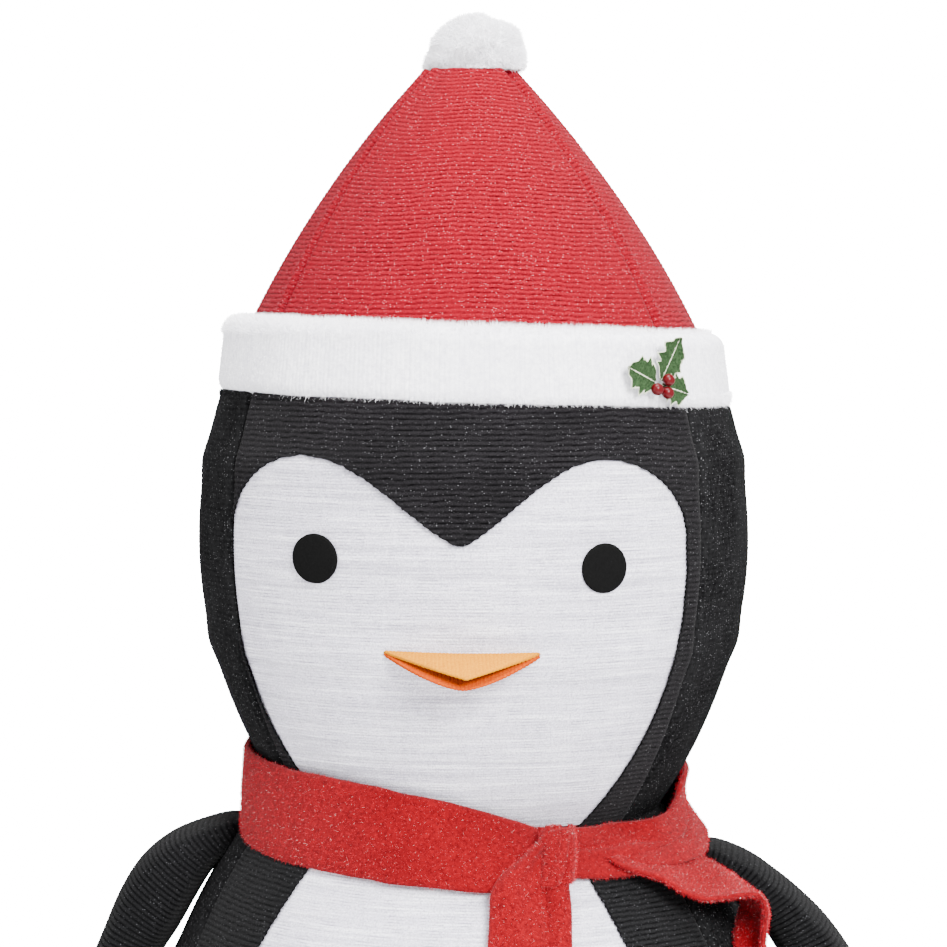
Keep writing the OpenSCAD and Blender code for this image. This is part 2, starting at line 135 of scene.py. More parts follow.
def bump(x, centre, width):
    return np.exp(-((x - centre) / width) ** 2)


def waves(*coords, seed=0, octaves=4):
    """Smooth noise from -1 to 1 made of sines in random directions."""
    r = np.random.default_rng(1000 + seed)
    total = 0
    for k in range(octaves * 3):
        freq = 1.7 ** (k // 3)
        direction = r.normal(size=len(coords))
        direction *= freq / np.linalg.norm(direction)
        phase = sum(d * c for d, c in zip(direction, coords)) + r.uniform(0, 6.28)
        total = total + np.sin(phase) / (1.4 ** (k // 3))
    return total / 4


def cord_rib(phase, power=0.55):
    """Height from 0 to 1 of one round cord per unit of phase."""
    return np.abs(np.sin(np.pi * phase)) ** power


def full_turn(count):
    """Evenly spaced angles round one whole turn."""
    return np.linspace(0, 2 * math.pi, count, endpoint=False)


def around(r, az, z):
    """Points by distance from the mast axis, angle from the front towards +X, and height."""
    return np.stack([r * np.sin(az), -r * np.cos(az), z], axis=-1)


def shoulder_lean(z):
    """0 below the shoulders, 1 where the torso leans by its full amount."""
    return smooth((z - SHOULDER_FROM) / SHOULDER_RISE)


# ---- Meshes --------------------------------------------------------------------------

def declare(obj, node=None, body=FIGURE):
    """Says which body a piece rides, which CAD node it stands for."""
    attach(obj, body)
    if node:
        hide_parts(node)


def add_mesh(name, verts, faces, material, smooth_faces=True, values=None):
    """A mesh object. values fills the float attribute "rib" that the materials read."""
    mesh = bpy.data.meshes.new(name)
    mesh.from_pydata([tuple(v) for v in verts], [], [tuple(f) for f in faces])
    if values is not None:
        mesh.attributes.new("rib", "FLOAT", "POINT").data.foreach_set(
            "value", np.asarray(values, dtype=np.float32))
    mesh.polygons.foreach_set("use_smooth", [smooth_faces] * len(mesh.polygons))
    mesh.materials.append(material)
    obj = bpy.data.objects.new(name, mesh)
    bpy.context.collection.objects.link(obj)
    return obj


def grid_faces(rows, cols, wrap_cols=False, wrap_rows=False):
    """Quads of a grid of points stored row by row."""
    i, j = np.meshgrid(np.arange(rows if wrap_rows else rows - 1),
                       np.arange(cols if wrap_cols else cols - 1), indexing="ij")
    i, j = i.ravel(), j.ravel()
    ni, nj = (i + 1) % rows, (j + 1) % cols
    return np.stack([i * cols + j, i * cols + nj, ni * cols + nj, ni * cols + j], axis=1)


def clip_faces(verts, faces, values, inside):
    """Keeps the part of a mesh where inside is positive, cut along its zero line."""
    verts, values = [tuple(v) for v in verts], list(values)
    keep = inside > 0
    count = keep[faces].sum(axis=1)
    kept = [tuple(f) for f in faces[count == faces.shape[1]]]
    cut = {}
    rim = []

    def crossing(a, b):
        key = (min(a, b), max(a, b))
        if key not in cut:
            t = inside[a] / (inside[a] - inside[b])
            cut[key] = len(verts)
            verts.append(tuple(np.array(verts[a]) * (1 - t) + np.array(verts[b]) * t))
            values.append(values[a] * (1 - t) + values[b] * t)
        return cut[key]

    for face in faces[(count > 0) & (count < faces.shape[1])]:
        ring, edge = [], []
        for a, b in zip(face, np.roll(face, -1)):
            if keep[a]:
                ring.append(int(a))
            if keep[a] != keep[b]:
                point = crossing(int(a), int(b))
                ring.append(point)
                edge.append(point)
        if len(ring) >= 3:
            kept.append(tuple(ring))
            if len(edge) == 2:
                rim.append(tuple(edge))
    used = sorted({i for f in kept for i in f})
    renumber = {old: new for new, old in enumerate(used)}
    return (np.array([verts[i] for i in used]), [tuple(renumber[i] for i in f) for f in kept],
            np.array([values[i] for i in used]),
            [(renumber[a], renumber[b]) for a, b in rim])


def turn_in_hem(verts, faces, values):
    """Turns every open edge towards the mast axis, so that the cloth shows its thickness."""
    seen = {}
    for face in faces:
        for a, b in zip(face, face[1:] + face[:1]):
            seen[(a, b)] = True
    edges = [(a, b) for a, b in seen if (b, a) not in seen]
    verts = np.asarray(verts)
    inner = {}
    extra = []
    for a in {i for e in edges for i in e}:
        flat = np.array([verts[a][0], verts[a][1], 0.0])
        inner[a] = len(verts) + len(extra)
        extra.append(verts[a] - flat / max(np.linalg.norm(flat), 1e-6) * HEM)
    faces = list(faces) + [(b, a, inner[a], inner[b]) for a, b in edges]
    # The turned edge gets the rib value of a groove: painted shade.
    values = np.concatenate([values, [0.2] * len(extra)])
    return np.concatenate([verts, np.array(extra)]), faces, values


def fibres(name, roots, normals, material, length, width, lean, droop=(0, 0, 0), *, seed):
    """Tapered hairs standing on points of a surface, each one bent once."""
    r = np.random.default_rng(seed)
    n = len(roots)
    aim = normals + r.normal(size=(n, 3)) * lean + np.array(droop)
    aim /= np.linalg.norm(aim, axis=1)[:, None]
    bend = aim + r.normal(size=(n, 3)) * 0.45 + np.array(droop) * 0.8
    bend /= np.linalg.norm(bend, axis=1)[:, None]
    side = np.cross(aim, r.normal(size=(n, 3)))
    side /= np.linalg.norm(side, axis=1)[:, None]
    reach = (length * r.uniform(0.45, 1.15, n))[:, None]
    start = roots - normals * 0.4 * MM
    middle = start + aim * reach * 0.55
    tip = middle + bend * reach * 0.45
    verts = np.stack([start - side * width / 2, start + side * width / 2,
                      middle + side * width / 3, middle - side * width / 3, tip], axis=1)
    first = np.arange(n) * 5
    quads = np.stack([first, first + 1, first + 2, first + 3], axis=1)
    tips = np.stack([first + 3, first + 2, first + 4], axis=1)
    faces = [tuple(f) for f in quads] + [tuple(f) for f in tips]
    return add_mesh(name, verts.reshape(-1, 3), faces, material, smooth_faces=False)


def scatter(obj, count, seed, wanted=None):
    """Random points on an object's mesh with their normals, spread by area."""
    mesh = obj.data
    mesh.calc_loop_triangles()
    tri = np.empty(len(mesh.loop_triangles) * 3, dtype=np.int32)
    mesh.loop_triangles.foreach_get("vertices", tri)
    tri = tri.reshape(-1, 3)
    co = np.empty(len(mesh.vertices) * 3)
    mesh.vertices.foreach_get("co", co)
    co = co.reshape(-1, 3)
    a, b, c = co[tri[:, 0]], co[tri[:, 1]], co[tri[:, 2]]
    cross = np.cross(b - a, c - a)
    area = np.linalg.norm(cross, axis=1)
    weight = area.copy()
    if wanted is not None:
        weight *= wanted((a + b + c) / 3)
    r = np.random.default_rng(seed)
    pick = r.choice(len(tri), size=count, p=weight / weight.sum())
    u, v = r.uniform(size=(2, count))
    flip = u + v > 1
    u[flip], v[flip] = 1 - u[flip], 1 - v[flip]
    points = a[pick] + (b - a)[pick] * u[:, None] + (c - a)[pick] * v[:, None]
    return points, cross[pick] / area[pick][:, None]


# ---- Materials -----------------------------------------------------------------------

FLECK_SQUASH = 1.7               # width of a glitter speck over its height
BUMP_STRENGTH = 0.6


def rgb(r, g, b):
    return (r, g, b, 1.0)


class Nodes:
    """Short calls for building one material's node tree."""

    def __init__(self, name, roughness, sheen=0.0, specular=0.3, metallic=0.0):
        self.material = bpy.data.materials.new(name)
        self.material.use_nodes = True
        self.tree = self.material.node_tree
        self.shader = self.tree.nodes["Principled BSDF"]
        self.shader.inputs["Roughness"].default_value = roughness
        self.shader.inputs["Specular IOR Level"].default_value = specular
        self.shader.inputs["Metallic"].default_value = metallic
        self.shader.inputs["Sheen Weight"].default_value = sheen
        self.shader.inputs["Sheen Roughness"].default_value = 0.5
        self.place = self.tree.nodes.new("ShaderNodeTexCoord").outputs["Object"]

    def node(self, kind, **inputs):
        made = self.tree.nodes.new(kind)
        for key, value in inputs.items():
            self.feed(made.inputs[key.replace("_", " ")], value)
        return made

    def feed(self, socket, value):
        if isinstance(value, bpy.types.NodeSocket):
            self.tree.links.new(value, socket)
        else:
            socket.default_value = value

    def stretched(self, x, y, z):
        made = self.node("ShaderNodeMapping", Vector=self.place)
        made.inputs["Scale"].default_value = (x, y, z)
        return made.outputs["Vector"]

    def noise(self, scale, detail=3.0, rough=0.55, vector=None):
        made = self.node("ShaderNodeTexNoise", Vector=vector or self.place)
        made.inputs["Scale"].default_value = scale
        made.inputs["Detail"].default_value = detail
        made.inputs["Roughness"].default_value = rough
        return made.outputs["Fac"]

    def ramp(self, factor, low, high):
        made = self.node("ShaderNodeMapRange", Value=factor)
        made.inputs["From Min"].default_value = low
        made.inputs["From Max"].default_value = high
        made.clamp = True
        return made.outputs["Result"]

    def math(self, operation, a, b):
        made = self.tree.nodes.new("ShaderNodeMath")
        made.operation = operation
        self.feed(made.inputs[0], a)
        self.feed(made.inputs[1], b)
        return made.outputs[0]

    def mix(self, factor, a, b):
        made = self.tree.nodes.new("ShaderNodeMix")
        made.data_type = "RGBA"
        self.feed(made.inputs[0], factor)
        self.feed(made.inputs[6], a)
        self.feed(made.inputs[7], b)
        return made.outputs[2]

    def over(self, under, colour, factor, low, high, share=1.0):
        """Lays a share of a colour over another, more and more from low to high of a factor."""
        amount = self.math("MULTIPLY", self.ramp(factor, low, high), share)
        return self.mix(amount, under, colour)

    def rib(self):
        """The mesh's own rib value: 0 between cords and 1 on them."""
        made = self.tree.nodes.new("ShaderNodeAttribute")
        made.attribute_name = "rib"
        return made.outputs["Fac"]

    def flecks(self, scale, size, share):
        """Small bright specks: a share of the cells of a voronoi pattern, wider than tall."""
        place = self.stretched(scale, scale, scale * FLECK_SQUASH)
        cells = self.node("ShaderNodeTexVoronoi", Vector=place)
        cells.inputs["Scale"].default_value = 1
        near = self.ramp(cells.outputs["Distance"], size, size * 0.55)
        split = self.tree.nodes.new("ShaderNodeSeparateColor")
        self.feed(split.inputs[0], cells.outputs["Color"])
        chosen = self.math("LESS_THAN", split.outputs[0], share)
        return self.math("MULTIPLY", near, chosen)

    def finish(self, colour, height=None, depth=0.0004):
        """Sets the colour and a bump of some depth in metres, and returns the material."""
        self.feed(self.shader.inputs["Base Color"], colour)
        if height is not None:
            made = self.node("ShaderNodeBump", Height=height)
            made.inputs["Strength"].default_value = BUMP_STRENGTH
            made.inputs["Distance"].default_value = depth
            self.feed(self.shader.inputs["Normal"], made.outputs["Normal"])
        return self.material


def ribbed_cloth(name, shaded_groove, lit_ridge, fleck, fleck_share, patch, sheen=0.02, pile=0.0):
    """Knitted cloth: painted shade between its cords and painted highlight on them, painted shade in the low spots
    of its stitches, with patches and fine glittering specks.
    """
    n = Nodes(name, roughness=1.0, sheen=sheen, specular=0.01)
    # Painted shade and highlight: the darker colour goes between the cords, the lighter one on them.
    cloth = n.mix(n.ramp(n.rib(), 0.25, 0.97), shaded_groove, lit_ridge)
    stitches = n.noise(1.0, detail=4, rough=0.75, vector=n.stretched(800, 800, 1300))
    # Painted shade: the darker colour is laid where the stitch bump is low.
    cloth = n.over(cloth, shaded_groove, stitches, 0.6, 0.36, 0.7)
    if pile:
        tufts = n.noise(1.0, detail=4, rough=0.7, vector=n.stretched(420, 420, 140))
        cloth = n.over(cloth, patch, tufts, 0.42, 0.72, pile)
    cloth = n.over(cloth, patch, n.noise(16, detail=4), 0.4, 0.7, 0.4)
    fine = n.flecks(720, 0.44, fleck_share)
    cloth = n.mix(n.math("MULTIPLY", fine, n.ramp(n.noise(480, detail=1), 0.4, 0.8)), cloth, fleck)
    cloth = n.mix(n.flecks(600, 0.3, fleck_share * 0.1), cloth, fleck)
    return n.finish(cloth, n.math("ADD", stitches, n.noise(380)), depth=0.0011)


def white_cloth():
    """Fine white knit with brighter slubs that run round the figure."""
    n = Nodes("white_cloth", roughness=0.92, sheen=0.03, specular=0.06)
    # Painted shade between the fine cords and painted highlight on them.
    cloth = n.mix(n.ramp(n.rib(), 0.0, 0.75), rgb(0.11, 0.105, 0.14), rgb(0.54, 0.52, 0.6))
    slub = n.noise(1.0, detail=6, rough=0.68, vector=n.stretched(16, 16, 640))
    cloth = n.over(cloth, rgb(0.8, 0.79, 0.84), slub, 0.5, 0.66)
    streak = n.noise(1.0, detail=2, vector=n.stretched(7, 7, 210))
    cloth = n.over(cloth, rgb(0.27, 0.26, 0.31), streak, 0.5, 0.32, 0.5)
    speck = n.noise(850, detail=3, rough=0.7)
    cloth = n.over(cloth, rgb(0.25, 0.24, 0.29), speck, 0.52, 0.32, 0.75)
    cloth = n.over(cloth, rgb(0.88, 0.87, 0.9), speck, 0.56, 0.74, 0.7)
    return n.finish(cloth, n.math("ADD", slub, n.noise(900)), depth=0.0009)


def plush(name, shade, light, tip, scale=260, ribs=0.0):
    """Long pile: painted lighter at the tips of its tufts with painted shade between them, and painted shade
    between ribs where asked.
    """
    n = Nodes(name, roughness=0.95, sheen=0.05, specular=0.05)
    tufts = n.noise(scale, detail=5, rough=0.7)
    # Painted light and shade: the tuft height that bumps the pile also lightens its tops.
    cloth = n.mix(n.ramp(tufts, 0.32, 0.68), shade, light)
    cloth = n.over(cloth, shade, n.noise(18), 0.45, 0.7, 0.35)
    if ribs:
        cloth = n.over(cloth, shade, n.rib(), 0.6, 0.1, ribs)
    cloth = n.mix(n.flecks(620, 0.3, 0.12), cloth, tip)
    return n.finish(cloth, tufts, depth=0.0014)


def hair(name, base, pale, share, metallic=0.0):
    """Fibres, a share of them paler."""
    n = Nodes(name, roughness=0.55 if metallic else 0.85, specular=0.1, metallic=metallic)
    spread = n.noise(650, detail=1)
    return n.finish(n.mix(n.ramp(spread, 0.92 - share, 1.12 - share), base, pale))


def felt(name, base, shade, ribs=0.0):
    """Pressed felt with painted shade in the low spots of its fluff, and painted shade between its embossed ribs
    where asked.
    """
    n = Nodes(name, roughness=0.95, specular=0.02)
    fluff = n.noise(800, detail=4)
    # Painted shade where the fluff bump is low.
    colour = n.mix(n.ramp(fluff, 0.3, 0.7), shade, base)
    if ribs:
        # Painted shade between the ribs.
        colour = n.over(colour, shade, n.rib(), 0.7, 0.1, ribs)
    return n.finish(colour, fluff, depth=0.0003)


def hard(name, colour, worn, roughness, metallic=0.0, specular=0.5):
    """Painted, plated or moulded parts with fine wear."""
    n = Nodes(name, roughness=roughness, metallic=metallic, specular=specular)
    wear = n.noise(60, detail=6, rough=0.7)
    uneven = n.math("ADD", n.math("MULTIPLY", wear, 0.2), roughness - 0.1)
    n.feed(n.shader.inputs["Roughness"], uneven)
    return n.finish(n.mix(n.ramp(wear, 0.55, 0.75), colour, worn), n.noise(500), depth=0.00008)


MAT = {
    "black": ribbed_cloth("black_knit", rgb(0.0003, 0.0003, 0.0004), rgb(0.0135, 0.0125, 0.0138),
                          rgb(0.095, 0.095, 0.1), 0.14, rgb(0.0028, 0.0028, 0.003)),
    "black_pile": ribbed_cloth("black_pile", rgb(0.0008, 0.0008, 0.0009),
                               rgb(0.0055, 0.0055, 0.0058), rgb(0.13, 0.13, 0.135), 0.2,
                               rgb(0.0125, 0.0125, 0.013), sheen=0.0, pile=0.7),
    # Darker knit of the flippers, which the torso front also takes as painted shadow of the scarf.
    "flipper": ribbed_cloth("flipper_and_shaded_front_knit", rgb(0.0002, 0.0002, 0.0003), rgb(0.0095, 0.0095, 0.01),
                            rgb(0.06, 0.06, 0.065), 0.16, rgb(0.0022, 0.0022, 0.0024)),
    "hat": ribbed_cloth("red_knit", rgb(0.03, 0.0001, 0.0006), rgb(0.225, 0.0036, 0.0135),
                        rgb(0.5, 0.12, 0.14), 0.22, rgb(0.13, 0.001, 0.0058)),
    "white": white_cloth(),
    "white_plush": plush("white_plush", rgb(0.84, 0.83, 0.86), rgb(0.93, 0.925, 0.945),
                         rgb(0.97, 0.97, 0.97)),
    # The brim's grey shade colour is painted shade between its ribs.
    "brim": plush("brim_plush", rgb(0.6, 0.59, 0.65), rgb(0.92, 0.915, 0.94),
                  rgb(0.97, 0.97, 0.97), ribs=0.75),
    "white_hair": hair("white_hair", rgb(0.88, 0.87, 0.9), rgb(0.97, 0.97, 0.97), 0.4),
    "scarf": plush("scarf_plush", rgb(0.065, 0.0002, 0.0014), rgb(0.19, 0.001, 0.0045),
                   rgb(0.3, 0.02, 0.03), scale=420),
    # The paler share of these hairs is painted highlight: glints on the scarf's fuzz.
    "scarf_hair": hair("scarf_hair", rgb(0.175, 0.0008, 0.0048), rgb(0.5, 0.014, 0.026), 0.5),
    "glitter_hair": hair("glitter_hair", rgb(0.55, 0.2, 0.2), rgb(0.8, 0.55, 0.52), 0.4,
                         metallic=0.3),
    # The paler share of these hairs is painted highlight on the hat's fuzz.
    "red_hair": hair("red_hair", rgb(0.17, 0.0015, 0.008), rgb(0.45, 0.09, 0.12), 0.42),
    "black_hair": hair("black_hair", rgb(0.0025, 0.0025, 0.0027), rgb(0.026, 0.026, 0.028), 0.42),
    "eye": felt("eye_felt", rgb(0.0038, 0.0038, 0.0038), rgb(0.0026, 0.0026, 0.0026)),
    "beak": felt("beak_felt", rgb(0.5, 0.2, 0.0), rgb(0.36, 0.12, 0.0), ribs=0.8),
    # Darker copy of the beak felt for the lower flap: painted shade under the upper flap.
    "beak_inside_shaded": felt("beak_felt_shaded", rgb(0.38, 0.062, 0.0), rgb(0.24, 0.02, 0.0), ribs=0.8),
    "foot": felt("foot_felt", rgb(0.42, 0.1, 0.0), rgb(0.28, 0.045, 0.0), ribs=0.6),
    "leaf": felt("leaf_cloth", rgb(0.03, 0.055, 0.024), rgb(0.008, 0.02, 0.007)),
    "leaf_edge": felt("leaf_edge", rgb(0.5, 0.52, 0.4), rgb(0.38, 0.42, 0.3)),
    "berry": hard("berry", rgb(0.06, 0.0008, 0.0025), rgb(0.035, 0.0004, 0.0015), 0.3,
                  specular=0.16),
    "steel": hard("base_steel", rgb(0.09, 0.09, 0.1), rgb(0.16, 0.16, 0.17), 0.45, metallic=0.6),
    "tube": hard("mast_tube", rgb(0.42, 0.43, 0.45), rgb(0.33, 0.34, 0.36), 0.35, metallic=1.0),
    "wire": hard("cage_wire", rgb(0.02, 0.02, 0.022), rgb(0.07, 0.07, 0.08), 0.45, metallic=0.3),
    "plastic": hard("moulded_plastic", rgb(0.012, 0.012, 0.014), rgb(0.025, 0.025, 0.03), 0.5),
    "rubber": hard("pad_rubber", rgb(0.01, 0.01, 0.011), rgb(0.02, 0.02, 0.022), 0.8),
}

CAD_FINISH = {
    "base_steel": "steel", "mast_tube": "tube", "cage_wire": "wire",
    "thumb_screw": "plastic", "cap_plastic": "plastic", "pad_rubber": "rubber",
}


def finish_cad_nodes():
    """Gives the frame's own nodes, which stay as they are, their materials."""
    for part in frame["record"]["subparts"]:
        finish = CAD_FINISH.get(part["material_slot"])
        if finish:
            mesh = frame["nodes"][part["node"]].data
            mesh.materials.clear()
            mesh.materials.append(MAT[finish])


# ---- Stretched cloth panels ----------------------------------------------------------

def hoop_relief(z, hoops):
    """The cloth stands out over a hoop and is drawn in between hoops."""
    out = -0.6 * MM
    for height in hoops:
        out = out + 2.2 * MM * bump(z, height, 13 * MM)
    return out


def cloth_panel(name, node, profile, start, end, low, high, material, slot, pitch=RIB_PITCH,
                relief=0.55 * MM, per_rib=4, column=4 * MM, set_in=0.0, hoops=(), seam=True,
                shift=None, window=None, fuzz=(0, None), on="torso_ribs", seed=0):
    """A gore of knitted cloth between two angles, with cords that run round the figure."""
    a0, a1 = profile.angle(low), profile.angle(high)
    length = profile.bow * (a1 - a0)
    rows = int(length / pitch * per_rib)
    widest = profile.radius(np.clip(profile.cz, low, high))
    cols = max(int((end - start) * widest / column), 8)
    theta, az = np.meshgrid(np.linspace(a0, a1, rows), np.linspace(start, end, cols),
                            indexing="ij")
    z = profile.cz + profile.bow * np.sin(theta)
    r = profile.cr + profile.bow * np.cos(theta)
    wander = waves(az * 6, z * 12, seed=seed, octaves=2)
    phase = profile.bow * theta / pitch + 0.75 * wander
    cord = cord_rib(phase + 0.17 * waves(az * 60, z * 200, seed=seed + 5))
    thread = 0.5 + 0.5 * np.sin(az * widest / (1.9 * MM) * 2 * np.pi)
    out = relief * cord * (0.85 + 0.15 * thread) - set_in
    out = out + hoop_relief(z, hoops) + 0.7 * MM * waves(az * 5, z * 16, seed=seed + 9, octaves=3)
    if seam:
        for edge in (start, end):
            out = out - 2.2 * MM * bump((az - edge) * r, 0, 3.2 * MM)
            out = out + 0.9 * MM * bump(np.abs(az - edge) * r, 7 * MM, 3 * MM)
    r = r + out * np.cos(theta)
    z = z + out * np.sin(theta)
    points = around(r, az, z).reshape(-1, 3)
    if shift is not None:
        points = shift(points)
    faces, values = grid_faces(rows, cols), cord.ravel()
    area = length * (end - start) * (profile.cr + profile.bow * np.cos(theta)).mean()
    if window is not None:
        inside = window(points)
        area *= (inside > 0).mean()
        points, faces, values, rim = clip_faces(points, faces, values, inside)
        hem_hairs(f"{name}_edge", points, rim)
    else:
        faces = [tuple(int(i) for i in f) for f in faces]
    points, faces, values = turn_in_hem(points, faces, values)
    obj = add_mesh(name, points, faces, MAT[material], values=values)
    declare(obj, node)
    count, hairs = fuzz
    if count:
        roots, normals = scatter(obj, count, seed + 200)
        pile = fibres(f"{name}_fuzz", roots, normals, MAT[hairs], 1.5 * MM, 0.16 * MM, 0.9,
                      seed=seed + 300)
        declare(pile)
    return obj


def hem_hairs(name, points, rim):
    """Loose fibres along a cut edge, which lie across it at all angles."""
    ends = points[np.array(rim)]
    r = np.random.default_rng(len(rim))
    count = 9 * len(ends)
    pick = r.integers(len(ends), size=count)
    share = r.uniform(size=(count, 1))
    roots = ends[pick, 0] * share + ends[pick, 1] * (1 - share)
    out = roots * np.array([1.0, 1.0, 0.0])
    out /= np.linalg.norm(out, axis=1)[:, None]
    sideways = r.normal(size=(count, 3))
    hairs = fibres(name, roots, out * 0.5 + sideways, MAT["black_hair"], 2.3 * MM, 0.2 * MM, 0.4,
                   seed=len(rim))
    declare(hairs)


def lean_shoulders(points):
    """The top of the torso slopes down towards +X."""
    out = points.copy()
    out[:, 2] += points[:, 0] * SHOULDER_TILT * shoulder_lean(points[:, 2])
    return out


# White belly: two arcs that lean together above and below
BELLY_HALF_W = 185 * MM
BELLY_WIDE = 330 * MM
BELLY_BOW = 509 * MM
BELLY_LOW = TORSO_BOTTOM + 25 * MM
# White face: a lobe over each eye, a dip between them, and cheeks that draw in
# Distance of a lobe's centre from the notch, its radius and the height of its top
LOBE_LEFT = (105.6 * MM, 52.5 * MM, 898.5 * MM)
LOBE_RIGHT = (92.4 * MM, 54 * MM, 896 * MM)
NOTCH_X = 1.6 * MM
NOTCH_Z = 841 * MM
CHEEK_R = 255 * MM
CHEEK_Z = 825 * MM


def cut_ripple(p):
    """The cut follows the stitches, so its edge steps a little."""
    return 0.35 * MM * np.sin(p[:, 2] / RIB_PITCH * 2 * np.pi) + 0.3 * MM * waves(
        p[:, 0] * 500, p[:, 2] * 500, seed=44, octaves=2)


def outside_belly(p):
    """Positive on the black cloth round the belly."""
    turn = -TORSO_YAW
    x = np.abs(p[:, 0] * math.cos(turn) - p[:, 1] * math.sin(turn))
    arc = np.hypot(x + BELLY_BOW - BELLY_HALF_W, p[:, 2] - BELLY_WIDE) - BELLY_BOW
    return np.maximum(arc, BELLY_LOW - p[:, 2]) + cut_ripple(p)


def outside_face(p):
    """Positive on the black cloth round the face."""
    x, z = p[:, 0] - NOTCH_X, p[:, 2]
    lobe_x, lobe_r, lobe_top = (np.where(x < 0, a, b) for a, b in zip(LOBE_LEFT, LOBE_RIGHT))
    x = np.abs(x)
    lobe_z = lobe_top - lobe_r
    lobe = np.hypot(x - lobe_x, z - lobe_z) - lobe_r
    top = NOTCH_Z + (lobe_top - NOTCH_Z) * np.sin(
        np.pi / 2 * np.clip(x / lobe_x, 0, 1)) ** 1.35
    dip = np.maximum((z - top) * 0.85, np.maximum(x - lobe_x, 0.80 - z))
    cheek = np.hypot(x - (lobe_x + lobe_r - CHEEK_R), z - CHEEK_Z) - CHEEK_R
    cheek = np.maximum(cheek, z - NOTCH_Z)
    return np.minimum(np.minimum(lobe, dip), cheek) + cut_ripple(p)


def build_torso():
    low, high = TORSO_BOTTOM, TORSO_TOP
    yaw, side, back = TORSO_YAW, TORSO_SEAM, math.radians(120)
    common = dict(profile=TORSO, low=low, high=high, hoops=TORSO_HOOPS, shift=lean_shoulders)
    pile = dict(material="black_pile", slot="black_fabric", relief=0.4 * MM)
    # The front takes the darker flipper knit as painted shadow of the scarf.
    cloth_panel("torso_front_cloth", "torso_front_overlay", start=yaw - side, end=yaw + side,
                material="flipper", slot="black_fabric", window=outside_belly, seed=1,
                fuzz=(9000, "black_hair"), **common)
    cloth_panel("torso_right_cloth", "torso_right_side", start=yaw + side, end=yaw + back,
                seed=2, fuzz=(16000, "black_hair"), **pile, **common)
    cloth_panel("torso_left_cloth", "torso_left_side", start=yaw - back, end=yaw - side,
                seed=3, fuzz=(16000, "black_hair"), **pile, **common)
    cloth_panel("torso_back_cloth", "torso_back", start=yaw + back, end=yaw + 2 * math.pi - back,
                seed=4, column=5 * MM, fuzz=(16000, "black_hair"), **pile, **common)
    inset = math.radians(3)
    common.update(low=low + 4 * MM, high=high - 4 * MM)
    cloth_panel("belly_cloth", "belly_panel", start=yaw - side + inset, end=yaw + side - inset,
                material="white", slot="white_fabric", pitch=FINE_PITCH, relief=0.3 * MM,
                per_rib=3, column=5 * MM, set_in=LAYER, seam=False, seed=5, **common)


def shape_head(points):
    """The cloth is fullest below the eyes, and the brim pinches its top edge."""
    out = points.copy()
    x, y, z = points.T
    r = np.hypot(x, y)
    wanted = r + 2.4 * MM * bump(z, 0.80, 0.085) * (np.abs(x) / r) ** 2
    rim = BRIM_BOTTOM + 3 * MM + x * BRIM_TILT
    pinch = smooth((z - rim - 1 * MM) / (6 * MM))
    wanted = wanted * (1 - pinch) + np.minimum(wanted, BRIM_R - 6 * MM) * pinch
    out[:, 0] *= wanted / r
    out[:, 1] *= wanted / r
    return out


def build_head():
    low, high = HEAD_BOTTOM, HEAD_TOP
    side = HEAD_SEAM
    common = dict(profile=HEAD, low=low, high=high + 14 * MM, hoops=HEAD_HOOPS, shift=shape_head,
                  on="head_ribs")
    pile = dict(material="black_pile", slot="black_fabric", relief=0.4 * MM)
    cloth_panel("head_front_cloth", "head_front_overlay", start=-side, end=side,
                material="black", slot="black_fabric", window=outside_face, seed=11,
                column=3 * MM, fuzz=(9000, "black_hair"), **common)
    cloth_panel("head_right_cloth", "head_right_side", start=side, end=math.pi - side,
                seed=12, fuzz=(14000, "black_hair"), **pile, **common)
    cloth_panel("head_left_cloth", "head_left_side", start=side - math.pi, end=-side,
                seed=13, fuzz=(14000, "black_hair"), **pile, **common)
    cloth_panel("head_back_cloth", "head_back", start=math.pi - side, end=math.pi + side,
                seed=14, fuzz=(14000, "black_hair"), **pile, **common)
    common.update(low=low + 2 * MM, high=high + 6 * MM)
    inset = math.radians(1)
    cloth_panel("face_cloth", "face_panel", start=-side + inset, end=side - inset,
                material="white", slot="white_fabric", pitch=FINE_PITCH, relief=0.3 * MM,
                per_rib=3, column=3.5 * MM, set_in=LAYER, seam=False, seed=15, **common)


def tilt_hat(points):
    """The foot of the hat dips a little towards +X and goes down inside the brim."""
    out = points.copy()
    x, y, z = points.T
    out[:, 2] += x * HAT_TILT
    limit = HAT_R + 0.3 * MM
    r = np.hypot(x, y)
    sunk = smooth((BRIM_TOP - 7 * MM + x * BRIM_TILT - z) / (4 * MM))
    inside = 1 - sunk * (1 - np.minimum(limit / r, 1))
    out[:, 0] = x * inside - 2.6 * MM * smooth((z - 1.0) / 0.15)
    out[:, 1] = y * inside
    return out


def build_hat():
    side = HEAD_SEAM
    panels = [("front", -side, side), ("right", side, math.pi - side),
              ("back", math.pi - side, math.pi + side), ("left", side - math.pi, -side)]
    for k, (where, start, end) in enumerate(panels):
        cloth_panel(f"hat_{where}_cloth", f"hat_{where}_panel", HAT, start, end,
                    BRIM_TOP - 20 * MM, HAT_TOP, "hat", "hat_fabric", relief=0.85 * MM,
                    column=2.5 * MM, set_in=-2.2 * MM, shift=tilt_hat, on="hat_ribs",
                    fuzz=(22000, "red_hair"), seed=20 + k)


# ---- Closed sheets and lofts ---------------------------------------------------------

def normals_of(points):
    """Unit normals of a grid of points."""
    normal = np.cross(np.gradient(points, axis=1), np.gradient(points, axis=0))
    return normal / np.maximum(np.linalg.norm(normal, axis=2, keepdims=True), 1e-9)


